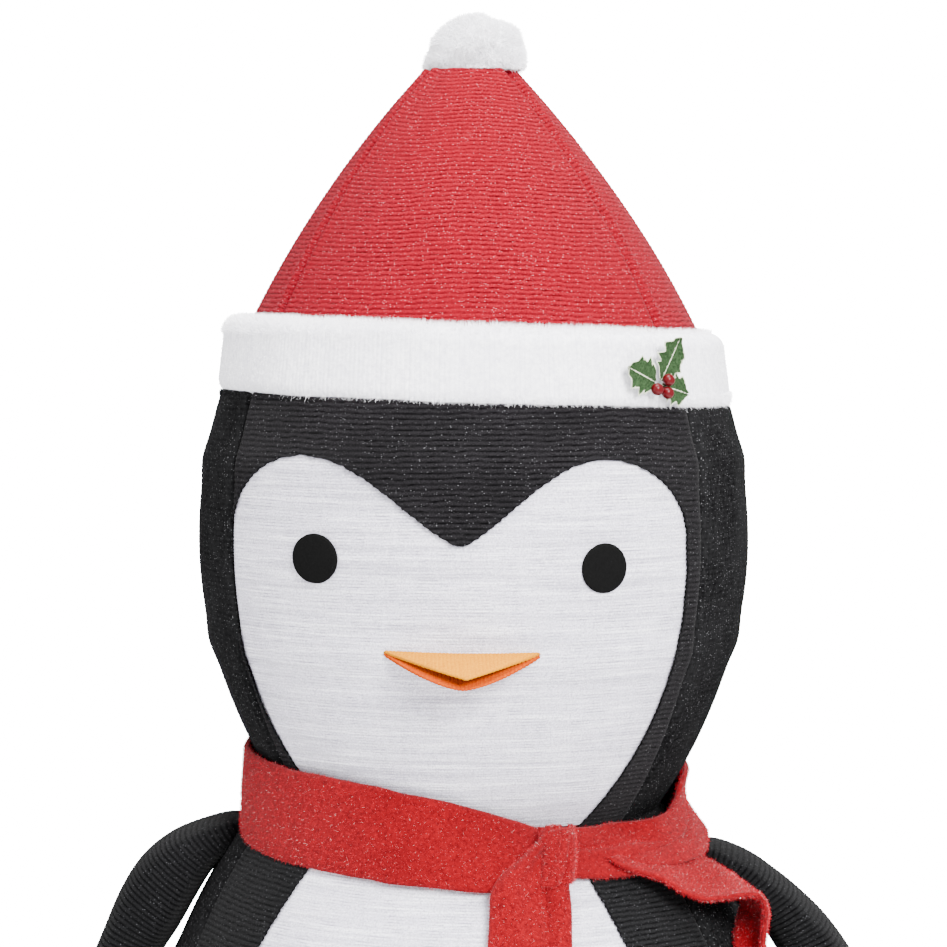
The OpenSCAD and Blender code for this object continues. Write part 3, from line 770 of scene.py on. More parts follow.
def thick_sheet(name, points, thickness, material, values=None):
    """A grid of points made into a closed sheet with rounded edges."""
    rows, cols = points.shape[:2]
    i, j = np.meshgrid(np.arange(rows), np.arange(cols), indexing="ij")
    edge = np.minimum(np.minimum(i, rows - 1 - i), np.minimum(j, cols - 1 - j))
    half = thickness / 2 * np.sqrt(np.clip((edge + 0.35) / 2.2, 0, 1))[:, :, None]
    normal = normals_of(points)
    front, rear = points + normal * half, points - normal * half
    verts = np.concatenate([front.reshape(-1, 3), rear.reshape(-1, 3)])
    faces = grid_faces(rows, cols)
    count = rows * cols
    rim = np.concatenate([np.arange(cols), np.arange(1, rows) * cols + cols - 1,
                          (rows - 1) * cols + np.arange(cols - 2, -1, -1),
                          np.arange(rows - 2, 0, -1) * cols])
    after = np.roll(rim, -1)
    sides = np.stack([rim, rim + count, after + count, after], axis=1)
    all_faces = [tuple(f) for f in faces] + [tuple(f[::-1] + count) for f in faces]
    all_faces += [tuple(f) for f in sides]
    if values is None:
        values = np.ones((rows, cols))
    return add_mesh(name, verts, all_faces, MAT[material],
                    values=np.concatenate([values.ravel(), values.ravel()]))


def loft(name, sections, material, values=None):
    """A closed skin over rings of points, capped at both ends by a centre point."""
    rows, cols = sections.shape[:2]
    verts = sections.reshape(-1, 3)
    ends = np.array([sections[0].mean(axis=0), sections[-1].mean(axis=0)])
    faces = [tuple(f) for f in grid_faces(rows, cols, wrap_cols=True)]
    first, last = rows * cols, rows * cols + 1
    for j in range(cols):
        nj = (j + 1) % cols
        faces.append((first, nj, j))
        faces.append((last, (rows - 1) * cols + j, (rows - 1) * cols + nj))
    flat = np.concatenate([values.ravel(), [0.5, 0.5]]) if values is not None else None
    return add_mesh(name, np.concatenate([verts, ends]), faces, MAT[material], values=flat)


def spline(stations, count):
    """A smooth curve through rows of numbers, sampled evenly by station."""
    p = np.asarray(stations, dtype=float)
    p = np.concatenate([2 * p[:1] - p[1:2], p, 2 * p[-1:] - p[-2:-1]])
    t = np.linspace(0, len(stations) - 1 - 1e-9, count)
    k = t.astype(int)
    f = (t - k).reshape((-1,) + (1,) * (p.ndim - 1))
    a, b, c, d = p[k], p[k + 1], p[k + 2], p[k + 3]
    return 0.5 * (2 * b + (c - a) * f + (2 * a - 5 * b + 4 * c - d) * f ** 2
                  + (3 * b - a - 3 * c + d) * f ** 3)


def keep_outside(points, offset):
    """Pushes points out of the torso, so that they clear its cloth by an offset."""
    out = points.copy()
    x, y, z = out[..., 0], out[..., 1], out[..., 2]
    r = np.hypot(x, y)
    lean = np.maximum(x, 0) * SHOULDER_TILT * shoulder_lean(z)
    wall = TORSO.radius(np.clip(z - lean, TORSO_BOTTOM, TORSO_TOP)) + offset
    push = np.where(z < TORSO_TOP, np.maximum(wall / np.maximum(r, 1e-6), 1), 1)
    out[..., 0] *= push
    out[..., 1] *= push
    return out


# ---- Brim, pompom and hat top --------------------------------------------------------

BRIM_RIB_PITCH = 3.3 * MM
# Edge, the way its hairs lean, their length and their number
BRIM_HAIRS = (("top", (0, 0, 0.3), 4.6 * MM, 24000), ("bottom", (0, 0, -0.6), 5.0 * MM, 20000),
              ("face", (0, 0, -0.15), 2.4 * MM, 9000))


def build_brim():
    """Stuffed plush ring with faint upright ribs, bushy along both edges."""
    inner, outer, corner = HAT_R + 1 * MM, BRIM_R, 10 * MM
    low, high = BRIM_BOTTOM + 3 * MM, BRIM_TOP - 6.5 * MM
    arc = np.linspace(0, math.pi / 2, 9)
    section = [(inner, high - 3 * MM), (inner, (low + high) / 2), (inner, low + 3 * MM)]
    section += [(r, low) for r in np.linspace(inner + 3 * MM, outer - corner, 4)]
    section += [(outer - corner + corner * math.sin(a), low + corner - corner * math.cos(a))
                for a in arc[1:]]
    section += [(outer, z) for z in np.linspace(low + corner, high - corner, 22)[1:-1]]
    section += [(outer - corner + corner * math.cos(a), high - corner + corner * math.sin(a))
                for a in arc]
    section += [(r, high) for r in np.linspace(outer - corner, inner + 3 * MM, 4)[1:]]
    section = np.array(section)
    az = full_turn(1300)[None, :]
    r, z = section[:, :1], section[:, 1:]
    face = smooth((r - 172 * MM) / (5 * MM))
    rib = cord_rib(az * outer / BRIM_RIB_PITCH, 0.8) * np.ones_like(z)
    fade = 0.5 + 0.5 * waves(az * 2, z * 9, seed=30, octaves=2)
    taper = 4 * MM * smooth((z - low) / (high - low))
    out = face * 0.45 * MM * rib * fade + 0.9 * MM * waves(az * 9, z * 30, seed=31)
    r = r + out - taper * (r > inner + 10 * MM)
    z = z + 0.9 * MM * waves(az * 7, r * 30, seed=32)
    points = around(r, az, z + r * np.sin(az) * BRIM_TILT)
    rows, cols = points.shape[:2]
    obj = add_mesh("brim_plush", points.reshape(-1, 3), grid_faces(rows, cols, True, True),
                   MAT["brim"], values=(1 - face * (1 - rib)).ravel())
    declare(obj, "brim_band")

    def wanted(where, p):
        """Where the hairs of an edge grow: those of the top are thinnest at the back."""
        reach = np.hypot(p[:, 0], p[:, 1])
        if where == "top":
            return (p[:, 2] > high - 6 * MM) * (reach > 0.15) * (1.0 + 2 * (p[:, 1] < 0.1))
        if where == "bottom":
            return (p[:, 2] < low + 7 * MM) * (reach > 0.165)
        return (np.abs(p[:, 2] - (low + high) / 2) < 30 * MM) * (reach > 0.174)

    for where, droop, length, count in BRIM_HAIRS:
        roots, normals = scatter(obj, count, 60 + len(where), lambda p: wanted(where, p))
        hairs = fibres(f"brim_{where}_hairs", roots, normals, MAT["white_hair"], length,
                       0.28 * MM, 0.55, droop, seed=len(where))
        declare(hairs)


def build_brim_fringe():
    """Black pile of the head that stands up over the brim's lower edge."""
    r = np.random.default_rng(63)
    az = r.uniform(-math.pi, math.pi, 15000)
    out = np.stack([np.sin(az), -np.cos(az), 0 * az], axis=1)
    roots = out * (BRIM_R - 2.4 * MM)
    roots[:, 2] = BRIM_BOTTOM + (2.2 + r.normal(size=len(az)) * 0.8) * MM + roots[:, 0] * BRIM_TILT
    hairs = fibres("head_top_hairs", roots, out, MAT["black_hair"], 3.4 * MM, 0.22 * MM, 0.6,
                   (0, 0, 0.5), seed=64)
    declare(hairs)


def build_pompom():
    """Lumpy plush ball on the hat's flat top."""
    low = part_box("pompom")[0]
    centre = np.array([0.5 * MM, 0, low[2] + 6 * MM])
    ball = bmesh.new()
    bmesh.ops.create_icosphere(ball, subdivisions=6, radius=1)
    ball.verts.ensure_lookup_table()
    unit = np.array([v.co for v in ball.verts])
    faces = [tuple(v.index for v in f.verts) for f in ball.faces]
    ball.free()
    lumps = waves(*(unit.T * 3.2), seed=40, octaves=3)
    tuft = waves(*(unit.T * 20), seed=41, octaves=3)
    r = 31 * MM * (1 + 0.15 * lumps + 0.05 * tuft)
    points = centre + unit * r[:, None] * np.array([1.06, 1.04, 1.0])
    points[:, 2] = np.maximum(points[:, 2], low[2] + 0.2 * MM)
    obj = add_mesh("pompom_plush", points, faces, MAT["white_plush"])
    declare(obj, "pompom")
    roots, normals = scatter(obj, 42000, 42, lambda p: 1.0 * (p[:, 2] > low[2] + 1.5 * MM))
    hairs = fibres("pompom_hairs", roots, normals, MAT["white_hair"], 5.6 * MM, 0.3 * MM, 0.6,
                   (0, 0, -0.1), seed=43)
    declare(hairs)


def build_hat_top():
    """Round of red knit that closes the cone, stitched down round its edge."""
    z0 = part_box("hat_top_disc")[0][2]
    r, az = np.meshgrid(np.linspace(0.4 * MM, HAT_TOP_R + 0.6 * MM, 26), full_turn(160),
                        indexing="ij")
    rib = cord_rib(r * np.sin(az) / RIB_PITCH)
    z = z0 + 1.2 * MM + 0.4 * MM * rib - 1.6 * MM * smooth((r - HAT_TOP_R + 3 * MM) / (3 * MM))
    top = np.stack([r * np.cos(az), r * np.sin(az), z], axis=-1)
    under = top[::-1].copy()
    under[..., 2] = z0 + 0.05 * MM
    obj = loft("hat_top_cloth", np.concatenate([top, under]), "hat",
               values=np.concatenate([rib, rib]))
    declare(obj, "hat_top_disc")


def build_hat_edge_hairs():
    """Pile standing along the hat's seams, its paler hairs painted highlight on the fuzz."""
    roots, normals = [], []
    for where, seed in (("left", 49), ("right", 51)):
        p, n = scatter(bpy.data.objects[f"hat_{where}_cloth"], 2600, seed, lambda q: bump(
            np.arctan2(np.abs(q[:, 0]), -q[:, 1]), HEAD_SEAM + 0.02, 0.05))
        roots.append(p)
        normals.append(n)
    roots, normals = np.concatenate(roots), np.concatenate(normals)
    hairs = fibres("hat_seam_hairs", roots, normals, MAT["red_hair"], 2.2 * MM, 0.22 * MM, 0.8,
                   seed=51)
    declare(hairs)


# ---- Face ----------------------------------------------------------------------------

def on_face(across, up, z0, angle, out):
    """Points on the face cloth: across and up from a place, lifted by out."""
    z = z0 + up
    r = HEAD.radius(z) - LAYER + 0.5 * MM
    az = angle + across / r
    return around(r + out, az, z)


def build_eyes():
    """Thick round felt discs, slightly domed, with a soft cut edge."""
    for name, degrees, lift, wide in (("eye_left", -30.2, 2.6 * MM, 1.09),
                                      ("eye_right", 29.7, -2.9 * MM, 1.0)):
        low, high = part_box(name)
        z0 = (low[2] + high[2]) / 2 + lift
        radius = 1.02 * (high[2] - low[2]) / 2
        angle = math.radians(degrees)
        outline = [(0.06, 2.7), (0.3, 2.7), (0.6, 2.65), (0.85, 2.5), (0.955, 2.2), (0.99, 1.6),
                   (1.0, 0.8), (0.985, 0.1), (0.9, 0.0), (0.5, 0.0), (0.06, 0.0)]
        outline = spline(outline, 44)
        turn = full_turn(120)[None, :]
        r = outline[:, :1] * radius
        out = outline[:, 1:] * MM
        rough = 0.12 * MM * waves(np.cos(turn) * 30, np.sin(turn) * 30, r * 900, seed=60)
        sections = on_face((r + rough) * np.cos(turn) * wide, (r + rough) * np.sin(turn), z0,
                           angle, out + 0 * turn)
        declare(loft(f"{name}_disc", sections, "eye"), name)


BEAK_HALF_W = 51 * MM
BEAK_Z = 771.2 * MM


def build_beak():
    """Folded felt diamond: a pointed upper flap over a shorter, rounder lower one."""
    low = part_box("beak")[0]
    # Name, tip, material, how full its outline is, thickness, how far it sits lower, and
    # 1 for a flap that bulges upwards or -1 for one that bulges downwards
    flaps = [("beak_upper", (6.5 * MM, low[1] + 0.5 * MM, 758 * MM), "beak", 1.05, 2.5 * MM,
              0.0, 1),
             # The lower flap takes the darker felt as painted shade under the upper flap.
             ("beak_lower", (4 * MM, low[1] + 5 * MM, 751.5 * MM), "beak_inside_shaded", 1.5, 2.2 * MM,
              -0.8 * MM, -1)]
    half = BEAK_HALF_W
    for name, apex, material, power, thick, drop, up in flaps:
        middle = 80
        u, v = np.meshgrid(np.linspace(-1, 1, 2 * middle + 1), np.linspace(0, 1, 40),
                           indexing="xy")
        root = on_face(u * half, 0 * u + drop - 0.008 * u * half, BEAK_Z, 1.8 * MM / HEAD_R,
                       0.8 * MM + 0 * u)
        centre = root[0, middle]
        reach = v * (1 - np.abs(u) ** power) * 0.985 + 0.012 * v
        aim = np.array(apex) - centre
        points = root + reach[..., None] * aim
        sag = np.sin(np.pi * v) * (1 - np.abs(u)) * 1.6 * MM
        points[..., 2] += sag if up > 0 else -1.2 * sag
        rib = cord_rib((u * half) / (2.5 * MM) + 0.5 * v, 0.7)
        points[..., 2] += 0.45 * MM * rib * up
        obj = thick_sheet(name, points, thick, material, values=rib)
        declare(obj)
    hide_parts("beak")


HOLLY_ANGLE = math.radians(44.8)
HOLLY_Z = 949 * MM
# Place along the leaf from 0 to 1, and its half width there as a share of the leaf's width
LEAF_SPINES = ((0.0, 0.06), (0.1, 0.26), (0.2, 0.4), (0.28, 0.3), (0.44, 0.5), (0.55, 0.33),
               (0.7, 0.42), (0.8, 0.23), (0.9, 0.16), (1.0, 0.02))


def on_brim(across, up, out):
    """Points on the brim's face: across and up from the holly's middle, lifted by out."""
    z = HOLLY_Z + up
    az = HOLLY_ANGLE + across / BRIM_R
    r = BRIM_R + 1.6 * MM + out
    return around(r, az, z + r * np.sin(az) * BRIM_TILT)


def build_holly():
    """Spiny leaves with pale edges and midribs, and glossy berries."""
    # Direction in degrees, then length, width and height off the brim in mm
    leaves = [(158, 26, 29, 0.5), (60, 33, 27, 1.4), (-13, 24, 25, 0.9)]
    spines = np.array(LEAF_SPINES)
    across_leaf = np.linspace(-1, 1, 33)
    across_leaf = np.sign(across_leaf) * np.abs(across_leaf) ** 1.3
    for k, (degrees, length, width, lift) in enumerate(leaves):
        along, side = np.meshgrid(np.linspace(0, 1, 90), across_leaf, indexing="ij")
        half = np.interp(along, spines[:, 0], spines[:, 1]) * width * MM
        hook = 0.07 * length * MM * np.abs(side) * np.sin(along * 9)
        x = (3 + along * length) * MM + hook * (1 - along)
        y = side * half
        curl = 2.2 * np.abs(side) ** 1.5 * (0.4 + 0.6 * np.sin(along * 14) ** 2)
        out = (lift + 1.2 + curl + 1.6 * along + 0.5 * (np.abs(side) < 0.08)) * MM
        vein = np.abs(np.sin(along * 22 - np.abs(side) * 5))
        a = math.radians(degrees)
        across, up = x * math.cos(a) - y * math.sin(a), x * math.sin(a) + y * math.cos(a)
        points = on_brim(across, up, out + 0.25 * MM * vein)[:, ::-1]
        obj = thick_sheet(f"holly_leaf_{k + 1}", points, 0.7 * MM, "leaf")
        obj.data.materials.append(MAT["leaf_edge"])
        flat = np.abs(side[:, ::-1])
        pale = (flat > 0.9) | (flat < 0.04) | (vein[:, ::-1] < 0.1)
        cell = (pale[:-1, :-1] & pale[:-1, 1:]).ravel()
        index = list(cell.astype(int)) * 2
        index += [1] * (len(obj.data.polygons) - len(index))
        obj.data.polygons.foreach_set("material_index", index)
        declare(obj)
    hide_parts("holly_leaves")
    for k, (across, up) in enumerate(((5.5, 3.0), (-4.5, -3.2), (4.8, -5.4))):
        turn, rise = np.meshgrid(full_turn(40),
                                 np.linspace(-math.pi / 2 + 0.05, math.pi / 2 - 0.05, 28))
        dent = 1 - 0.1 * bump(rise, math.pi / 2, 0.35)
        ball = 4.1 * MM * dent
        points = on_brim(across * MM + ball * np.cos(rise) * np.cos(turn),
                         up * MM + ball * np.cos(rise) * np.sin(turn),
                         6.2 * MM + ball * np.sin(rise))
        obj = loft(f"holly_berry_{k + 1}", points[::-1], "berry")
        declare(obj, "holly_berries" if k == 0 else None)


# ---- Scarf ---------------------------------------------------------------------------

# Angle from the front in degrees, height of the upper edge and of the lower edge in mm
BAND = ((-339, 651, 622), (-324, 648, 620), (-312, 647, 621), (-300, 650, 622),
        (-292, 652, 623), (-283, 660, 624), (-275, 671, 625), (-262, 674, 626),
        (-240, 680, 628), (-180, 696, 634), (-120, 695, 635), (-90, 691, 635),
        (-68, 688, 628), (-43, 684, 624), (-24, 680, 621), (-9, 673, 618),
        (6, 663, 615), (14, 656, 617), (21, 650, 622))
# Height in mm and distance from the axis in mm of the band where it hugs the neck
HUG = ((606, 177), (612, 171), (624, 164), (632, 157.5), (640, 151.5), (650, 146), (660, 145),
       (669, 147), (680, 153), (700, 161))


def band_wall(z, x):
    """Distance from the axis that the band rests at."""
    lean = np.maximum(x, 0) * SHOULDER_TILT
    torso = TORSO.radius(np.clip(z - lean, TORSO_BOTTOM, TORSO_TOP))
    head = HEAD.radius(np.clip(z, HEAD_BOTTOM, HEAD_TOP))
    return np.where(z - lean < TORSO_TOP, torso, head)


def scarf_piece(piece, points, thickness):
    """One sheet of the scarf, which stands for the CAD node of the same name."""
    obj = thick_sheet(f"scarf_{piece}_cloth", points[:, ::-1], thickness, "scarf")
    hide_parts(f"scarf_{piece}")
    return obj


def bend_at_joint(obj, body, count, seed, start, end):
    """Furs a tail and bakes its placement into its mesh."""
    fur(obj, body, count, seed, blend_to=(body, start, end))
    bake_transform(obj)


def joint_place(name):
    """The pivot of a joint, in metres."""
    return next(j for j in frame["joints"] if j["name"] == name)["pos_m"]


def fur(obj, name, count, seed, blend_to=None, wanted=None):
    """Red pile with a share of glittering hairs, which rides as its sheet does."""
    for kind, share, material, width in (("pile", 1.0, "scarf_hair", 0.2 * MM),
                                         ("glitter", 0.09, "glitter_hair", 0.15 * MM)):
        roots, normals = scatter(obj, int(count * share), seed + len(kind), wanted)
        hairs = fibres(f"{name}_{kind}", roots, normals, MAT[material], 2.9 * MM, width, 0.6,
                       (0, 0, -0.25), seed=seed + len(kind))
        if blend_to:
            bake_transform(hairs)
        else:
            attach(hairs, FIGURE)


def build_scarf_band():
    """The strip that goes round the neck from the right of the knot to its left."""
    table = spline(BAND, 620)
    az = np.radians(table[:, 0])[None, :]
    degrees = np.degrees(az)
    top, bottom = table[:, 1][None, :] * MM, table[:, 2][None, :] * MM
    v = np.linspace(0, 1, 40)[:, None]
    x = 0.16 * np.sin(az)
    r_top = band_wall(top, x) + 4 * MM
    level = np.minimum(bottom - np.maximum(x, 0) * SHOULDER_TILT, TORSO_TOP)
    r_bottom = TORSO.radius(level) + 3.2 * MM
    z = top * (1 - v) + bottom * v
    r = r_top * (1 - v) + r_bottom * v
    shallow = np.sin(np.pi * v)
    front = bump(degrees, -5, 60)
    r = np.maximum(r + 2.5 * MM * shallow * front, band_wall(z, x) + 3.2 * MM)
    hug = smooth((38 - np.abs(degrees + 276)) / 14)
    heights, walls = np.array(HUG).T * MM
    r = r * (1 - hug) + (np.interp(z, heights, walls) + 1.5 * MM) * hug
    near = bump(degrees, 12, 20)
    folds = waves(az * 5 + v * 1.5, v * 3, seed=71, octaves=3)
    r = r + (0.8 + 2.6 * near) * MM * folds * (0.35 + 0.65 * shallow)
    r = r + 5.5 * MM * smooth((degrees + 330) / 14) * smooth((-276 - degrees) / 18) * v ** 2
    crease = bump(v, 0.62 + 0.1 * np.sin(az * 3), 0.06) * bump(degrees, -292, 26)
    r = r - 2.2 * MM * crease
    z = z + 0.8 * MM * waves(az * 14, 0 * v, seed=73, octaves=3)
    obj = scarf_piece("band", around(r, az, z), 4 * MM)
    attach(obj, FIGURE)
    fur(obj, "scarf_band", 66000, seed=74,
        wanted=lambda p: 0.25 + 0.75 * (p[:, 1] < 0.03))


# Front tail in mm: height, the x of both edges and the distance from the axis, which is 0
# where the tail rests on the torso
TAIL = ((654, 56, 64, 152), (646, 52, 65, 160), (636, 40, 66, 169), (626, 27, 69, 176),
        (616, 21, 71, 181), (604, 20, 72.5, 185), (588, 19.5, 73, 0), (560, 18, 74, 0),
        (530, 17.5, 74.5, 0), (500, 17.5, 75, 0), (470, 17.5, 75, 0), (440, 18, 75.5, 0),
        (428, 18, 75.5, 0))
TAIL_OFFSET = 5.6 * MM


def build_front_tail():
    """The end that drops from the knot and lies on the belly."""
    stations = []
    for z, left, right, r in TAIL:
        stations.append((z * MM, left * MM, right * MM,
                         r * MM if r else TORSO.radius(z * MM) + TAIL_OFFSET))
    s = spline(stations, 220)
    u = np.linspace(0, 1, 56)[None, :]
    z = s[:, :1] + 0 * u
    x = s[:, 1:2] * (1 - u) + s[:, 2:3] * u
    r = s[:, 3:4] + 0 * u
    fan = smooth((z - 0.56) / 0.07)
    r = r + fan * 2.6 * MM * np.sin(u * 9.5 + z * 30) + 1.0 * MM * waves(u * 4, z * 25, seed=75)
    r = r - 2.8 * MM * bump(u, 0.68 + 0.9 * (0.62 - z), 0.07) * smooth((z - 0.53) / 0.07)
    r = r - 2.0 * MM * fan * bump(u, 0.0, 0.1)
    y = -np.sqrt(np.maximum(r ** 2 - x ** 2, 1e-6))
    points = keep_outside(np.stack([x, y, z], axis=-1), 3.6 * MM)
    obj = scarf_piece("front_tail", points, 3.6 * MM)
    px, py, pz = joint_place("scarf_front_tail_swing")
    bend_at_joint(obj, "scarf_front_tail", 34000, 76, start=(px, py, pz + 8 * MM),
                  end=(px, py, pz - 14 * MM))


def build_knot():
    """The loop that holds the crossing, tucked in at its sides."""
    v, u = np.meshgrid(np.linspace(0, 1, 46), np.linspace(-1, 1, 40), indexing="ij")
    az = np.radians(22.3 + 3.9 * u - 3.5 * (v - 0.5))
    z = (652.5 - 33 * v + 1.5 * u) * MM
    wall = 151 * (1 - v) + 173 * v
    r = (wall + 13.5 * (1 - np.abs(u) ** 2.6) ** 0.5 * (0.65 + 0.35 * np.sin(np.pi * v))) * MM
    r = r + 1.6 * MM * np.sin(u * 7 + v * 4) * (1 - np.abs(u))
    r = r + 0.8 * MM * waves(u * 3, v * 3, seed=77)
    obj = scarf_piece("knot", around(r, az, z), 3.6 * MM)
    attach(obj, FIGURE)
    fur(obj, "scarf_knot", 8000, seed=78)


# Front edge and rear edge of the side tail in mm, from under the band to its end
SIDE_TAIL = (
    ((96, -134, 632), (143, -54, 630)), ((107, -135, 625), (150, -54, 624)),
    ((130, -130, 616), (158, -54, 619)), ((145, -127, 607), (167, -55, 614)),
    ((159, -122, 602.5), (176, -55, 609)), ((174, -117, 604), (184, -55, 604)),
    ((189, -112, 606), (187, -55, 600)), ((198, -108, 603), (187, -59, 592)),
    ((201, -107, 593), (184, -66, 583)), ((200, -106, 581), (181, -79, 573)),
    ((199, -106, 564), (181, -89, 560)), ((203, -110, 538), (193, -92, 536)),
    ((210, -116, 508), (206, -95, 508)))


def build_side_tail():
    """The end that comes out under the band, lies over the shoulder and drops."""
    stations = np.array(SIDE_TAIL, dtype=float).reshape(len(SIDE_TAIL), 6) * MM
    rows = 170
    s = spline(stations, rows)
    front, rear = s[:, None, :3], s[:, None, 3:]
    u = np.linspace(0, 1, 56)[None, :]
    points = front * (1 - u[..., None]) + rear * u[..., None]
    t = np.linspace(0, 1, rows)[:, None]
    roll = 3.5 * MM * np.sin(u * 3.1) * np.sin(np.clip(t * 2, 0, 1) * 3.1)
    wave = 1.6 * MM * np.sin(u * 6 + t * 9) * smooth(t * 4)
    hanging = smooth((t - 0.55) / 0.15)
    points[..., 2] += (roll + wave) * (1 - hanging)
    curl = 9 * MM * np.sin(np.pi * u) * hanging
    points[..., 0] += 0.86 * curl
    points[..., 1] += 0.5 * curl
    points = keep_outside(points, 1.9 * MM + 2.3 * MM * smooth((t - 0.14) / 0.16))
    obj = scarf_piece("side_tail", points, 3.4 * MM)
    px, py, pz = joint_place("scarf_side_tail_swing")
    out_x, out_y = 0.82, -0.57
    bend_at_joint(obj, "scarf_side_tail", 30000, 79,
                  start=(px - out_x * 6 * MM, py - out_y * 6 * MM, pz),
                  end=(px + out_x * 16 * MM, py + out_y * 16 * MM, pz))


# ---- Flippers and feet ---------------------------------------------------------------

# Outer and inner point in the front view and half the depth in mm, from seam to tip
FLIPPER_RIGHT = (
    ((158, 622), (156, 612), 18), ((172, 621), (166, 605), 34), ((194, 612), (180, 596), 42),
    ((212, 600), (190, 583), 46), ((231, 585), (201, 567), 48), ((251, 565), (213, 548), 48),
    ((270, 536), (224, 529), 48), ((282, 500), (237, 496), 48), ((292, 455), (250, 452), 46),
    ((299, 410), (261, 406), 42), ((299, 382), (269, 384), 35), ((292, 364), (277, 366), 22),
    ((286, 358), (283, 359), 8))
FLIPPER_LEFT = (
    ((158, 637), (156, 627), 18), ((174, 637.5), (164, 620), 34), ((194, 632), (174, 610), 42),
    ((215, 623), (186, 597), 46), ((233, 608), (198, 578), 48), ((248, 585), (210, 557), 48),
    ((262, 553), (222, 538), 48), ((278, 514), (236, 506), 48), ((290, 466), (249, 462), 46),
    ((298, 420), (261, 416), 42), ((299, 392), (269, 394), 35), ((292, 374), (277, 376), 22),
    ((286, 368), (283, 369), 8))


def build_flipper(name, side, table):
    """Stuffed paddle of ribbed knit, with the cords across it and a seam round its rim."""
    stations = np.array([(*outer, *inner, depth) for outer, inner, depth in table]) * MM
    s = spline(stations, 900)
    middle = (s[:, 0:2] + s[:, 2:4]) / 2
    run = np.concatenate([[0], np.cumsum(np.linalg.norm(np.diff(middle, axis=0), axis=1))])
    rows = int(run[-1] / RIB_PITCH * 5)
    even = np.linspace(0, run[-1], rows)
    s = np.stack([np.interp(even, run, s[:, k]) for k in range(5)], axis=1)
    turn = full_turn(120)[None, :]
    outer, inner = s[:, None, 0:2], s[:, None, 2:4]
    centre, reach = (outer + inner) / 2, (outer - inner) / 2
    across, deep = (np.sign(c) * np.abs(c) ** 0.8 for c in (np.cos(turn), np.sin(turn)))
    wander = waves(deep * 1.5, even[:, None] * 25, seed=90 + side, octaves=2)
    rib = cord_rib(even[:, None] / RIB_PITCH + 0.5 * wander, 0.6) * np.ones_like(turn)
    seam = bump(np.abs(deep), 1.0, 0.1)
    puff = 1 + 0.03 * waves(across * 2, deep * 2, even[:, None] * 18, seed=91 + side)
    swell = (0.75 * MM * rib - 2.0 * MM * seam) / (24 * MM)
    scale = (puff + swell)[..., None]
    flat = centre + reach * across[..., None] * scale
    y = s[:, 4:5] * deep * scale[..., 0]
    points = np.stack([side * flat[..., 0], y, flat[..., 1]], axis=-1)
    if side > 0:
        points = points[:, ::-1]
        rib = rib[:, ::-1]
    obj = loft(f"{name}_plush", points, "flipper", values=rib)
    declare(obj, name, body=name)


def build_foot(name, side):
    """Stuffed webbed foot: a rounded pad with three toes, seamed above a flat sole."""
    low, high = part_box(name)
    cx = (low[0] + high[0]) / 2
    heel, toe = high[1], low[1]
    length, half_w, height = heel - toe - 2 * MM, (high[0] - low[0]) / 2 - 2 * MM, high[2] - MM
    turn = full_turn(240)[None, :]
    forward = -np.sin(turn)
    toes = 0.5 + 0.5 * np.cos(3 * (turn - 1.5 * math.pi) * 1.18)
    front = smooth((forward + 0.1) / 0.9)
    plan = 1 - 0.16 * front * (1 - toes)
    # From the middle of the top, over the rim and back under to the middle of the sole
    path = np.linspace(0.03, 1, 45)
    rim, under = np.linspace(0, math.pi, 22), np.linspace(0.93, 0.03, 22)
    share = np.concatenate([np.sin(path * math.pi / 2) * 0.94, 0.94 + 0.06 * np.sin(rim),
                            under])[:, None]
    rise = np.concatenate([np.cos(path * math.pi / 2) ** 0.8 * 0.72 + 0.28,
                           np.linspace(0.28, 0.015, 22), np.zeros(22)])[:, None]
    narrow = 1 - 0.36 * smooth((0.25 - forward) / 1.2)
    x = cx + half_w * np.cos(turn) * share * plan * narrow
    y = (heel + toe) / 2 + length / 2 * np.sin(turn) * share * (plan * 0.5 + 0.5)
    slope = 1 - 0.34 * smooth((forward * share + 0.2) / 1.2)
    shaded_groove = 5 * MM * front * (1 - toes) * share ** 2 * (1 - share ** 6) * (rise > 0.25)
    z = height * rise * slope - shaded_groove + 0 * turn
    rib = cord_rib((y - toe) / RIB_PITCH, 0.6)
    lumps = waves(x * 40, y * 40, seed=95 + side, octaves=3)
    z = z + (rise > 0.25) * (0.5 * MM * rib + 1.0 * MM * lumps * rise)
    seam = bump(rise, 0.27, 0.05)
    x = x - (x - cx) * 0.03 * seam
    y = y - (y - (heel + toe) / 2) * 0.03 * seam
    z = np.maximum(z, 0.0)
    points = np.stack([x + 0 * z, y + 0 * z, z], axis=-1)
    r = np.hypot(points[..., 0], points[..., 1])
    wall = TORSO.radius(np.clip(points[..., 2], TORSO_BOTTOM, TORSO_TOP)) + 2.5 * MM
    push = np.where((r < wall) & (points[..., 2] > TORSO_BOTTOM - 3 * MM), wall / r, 1)
    points[..., 0] *= push
    points[..., 1] *= push
    obj = loft(f"{name}_plush", points, "foot", values=rib * np.ones_like(z))
    declare(obj, name)


# ---- Rings of black cloth ------------------------------------------------------------

def ring_cloth(name, node, r, az, z, values):
    """A ring of black cloth 1 mm thick, whose faces look outwards whichever way it runs."""
    x, y = r * np.cos(az), r * np.sin(az)
    top, under = (np.stack([x, y, z + lift], axis=-1) for lift in (0.5 * MM, -0.5 * MM))
    points = np.concatenate([top, under[::-1]])
    rows, cols = points.shape[:2]
    faces = grid_faces(rows, cols, wrap_cols=True, wrap_rows=True)
    if r[0, 0] > r[-1, 0]:
        faces = faces[:, ::-1]
    obj = add_mesh(name, points.reshape(-1, 3), faces, MAT["black_pile"], values=values(points))
    declare(obj, node)


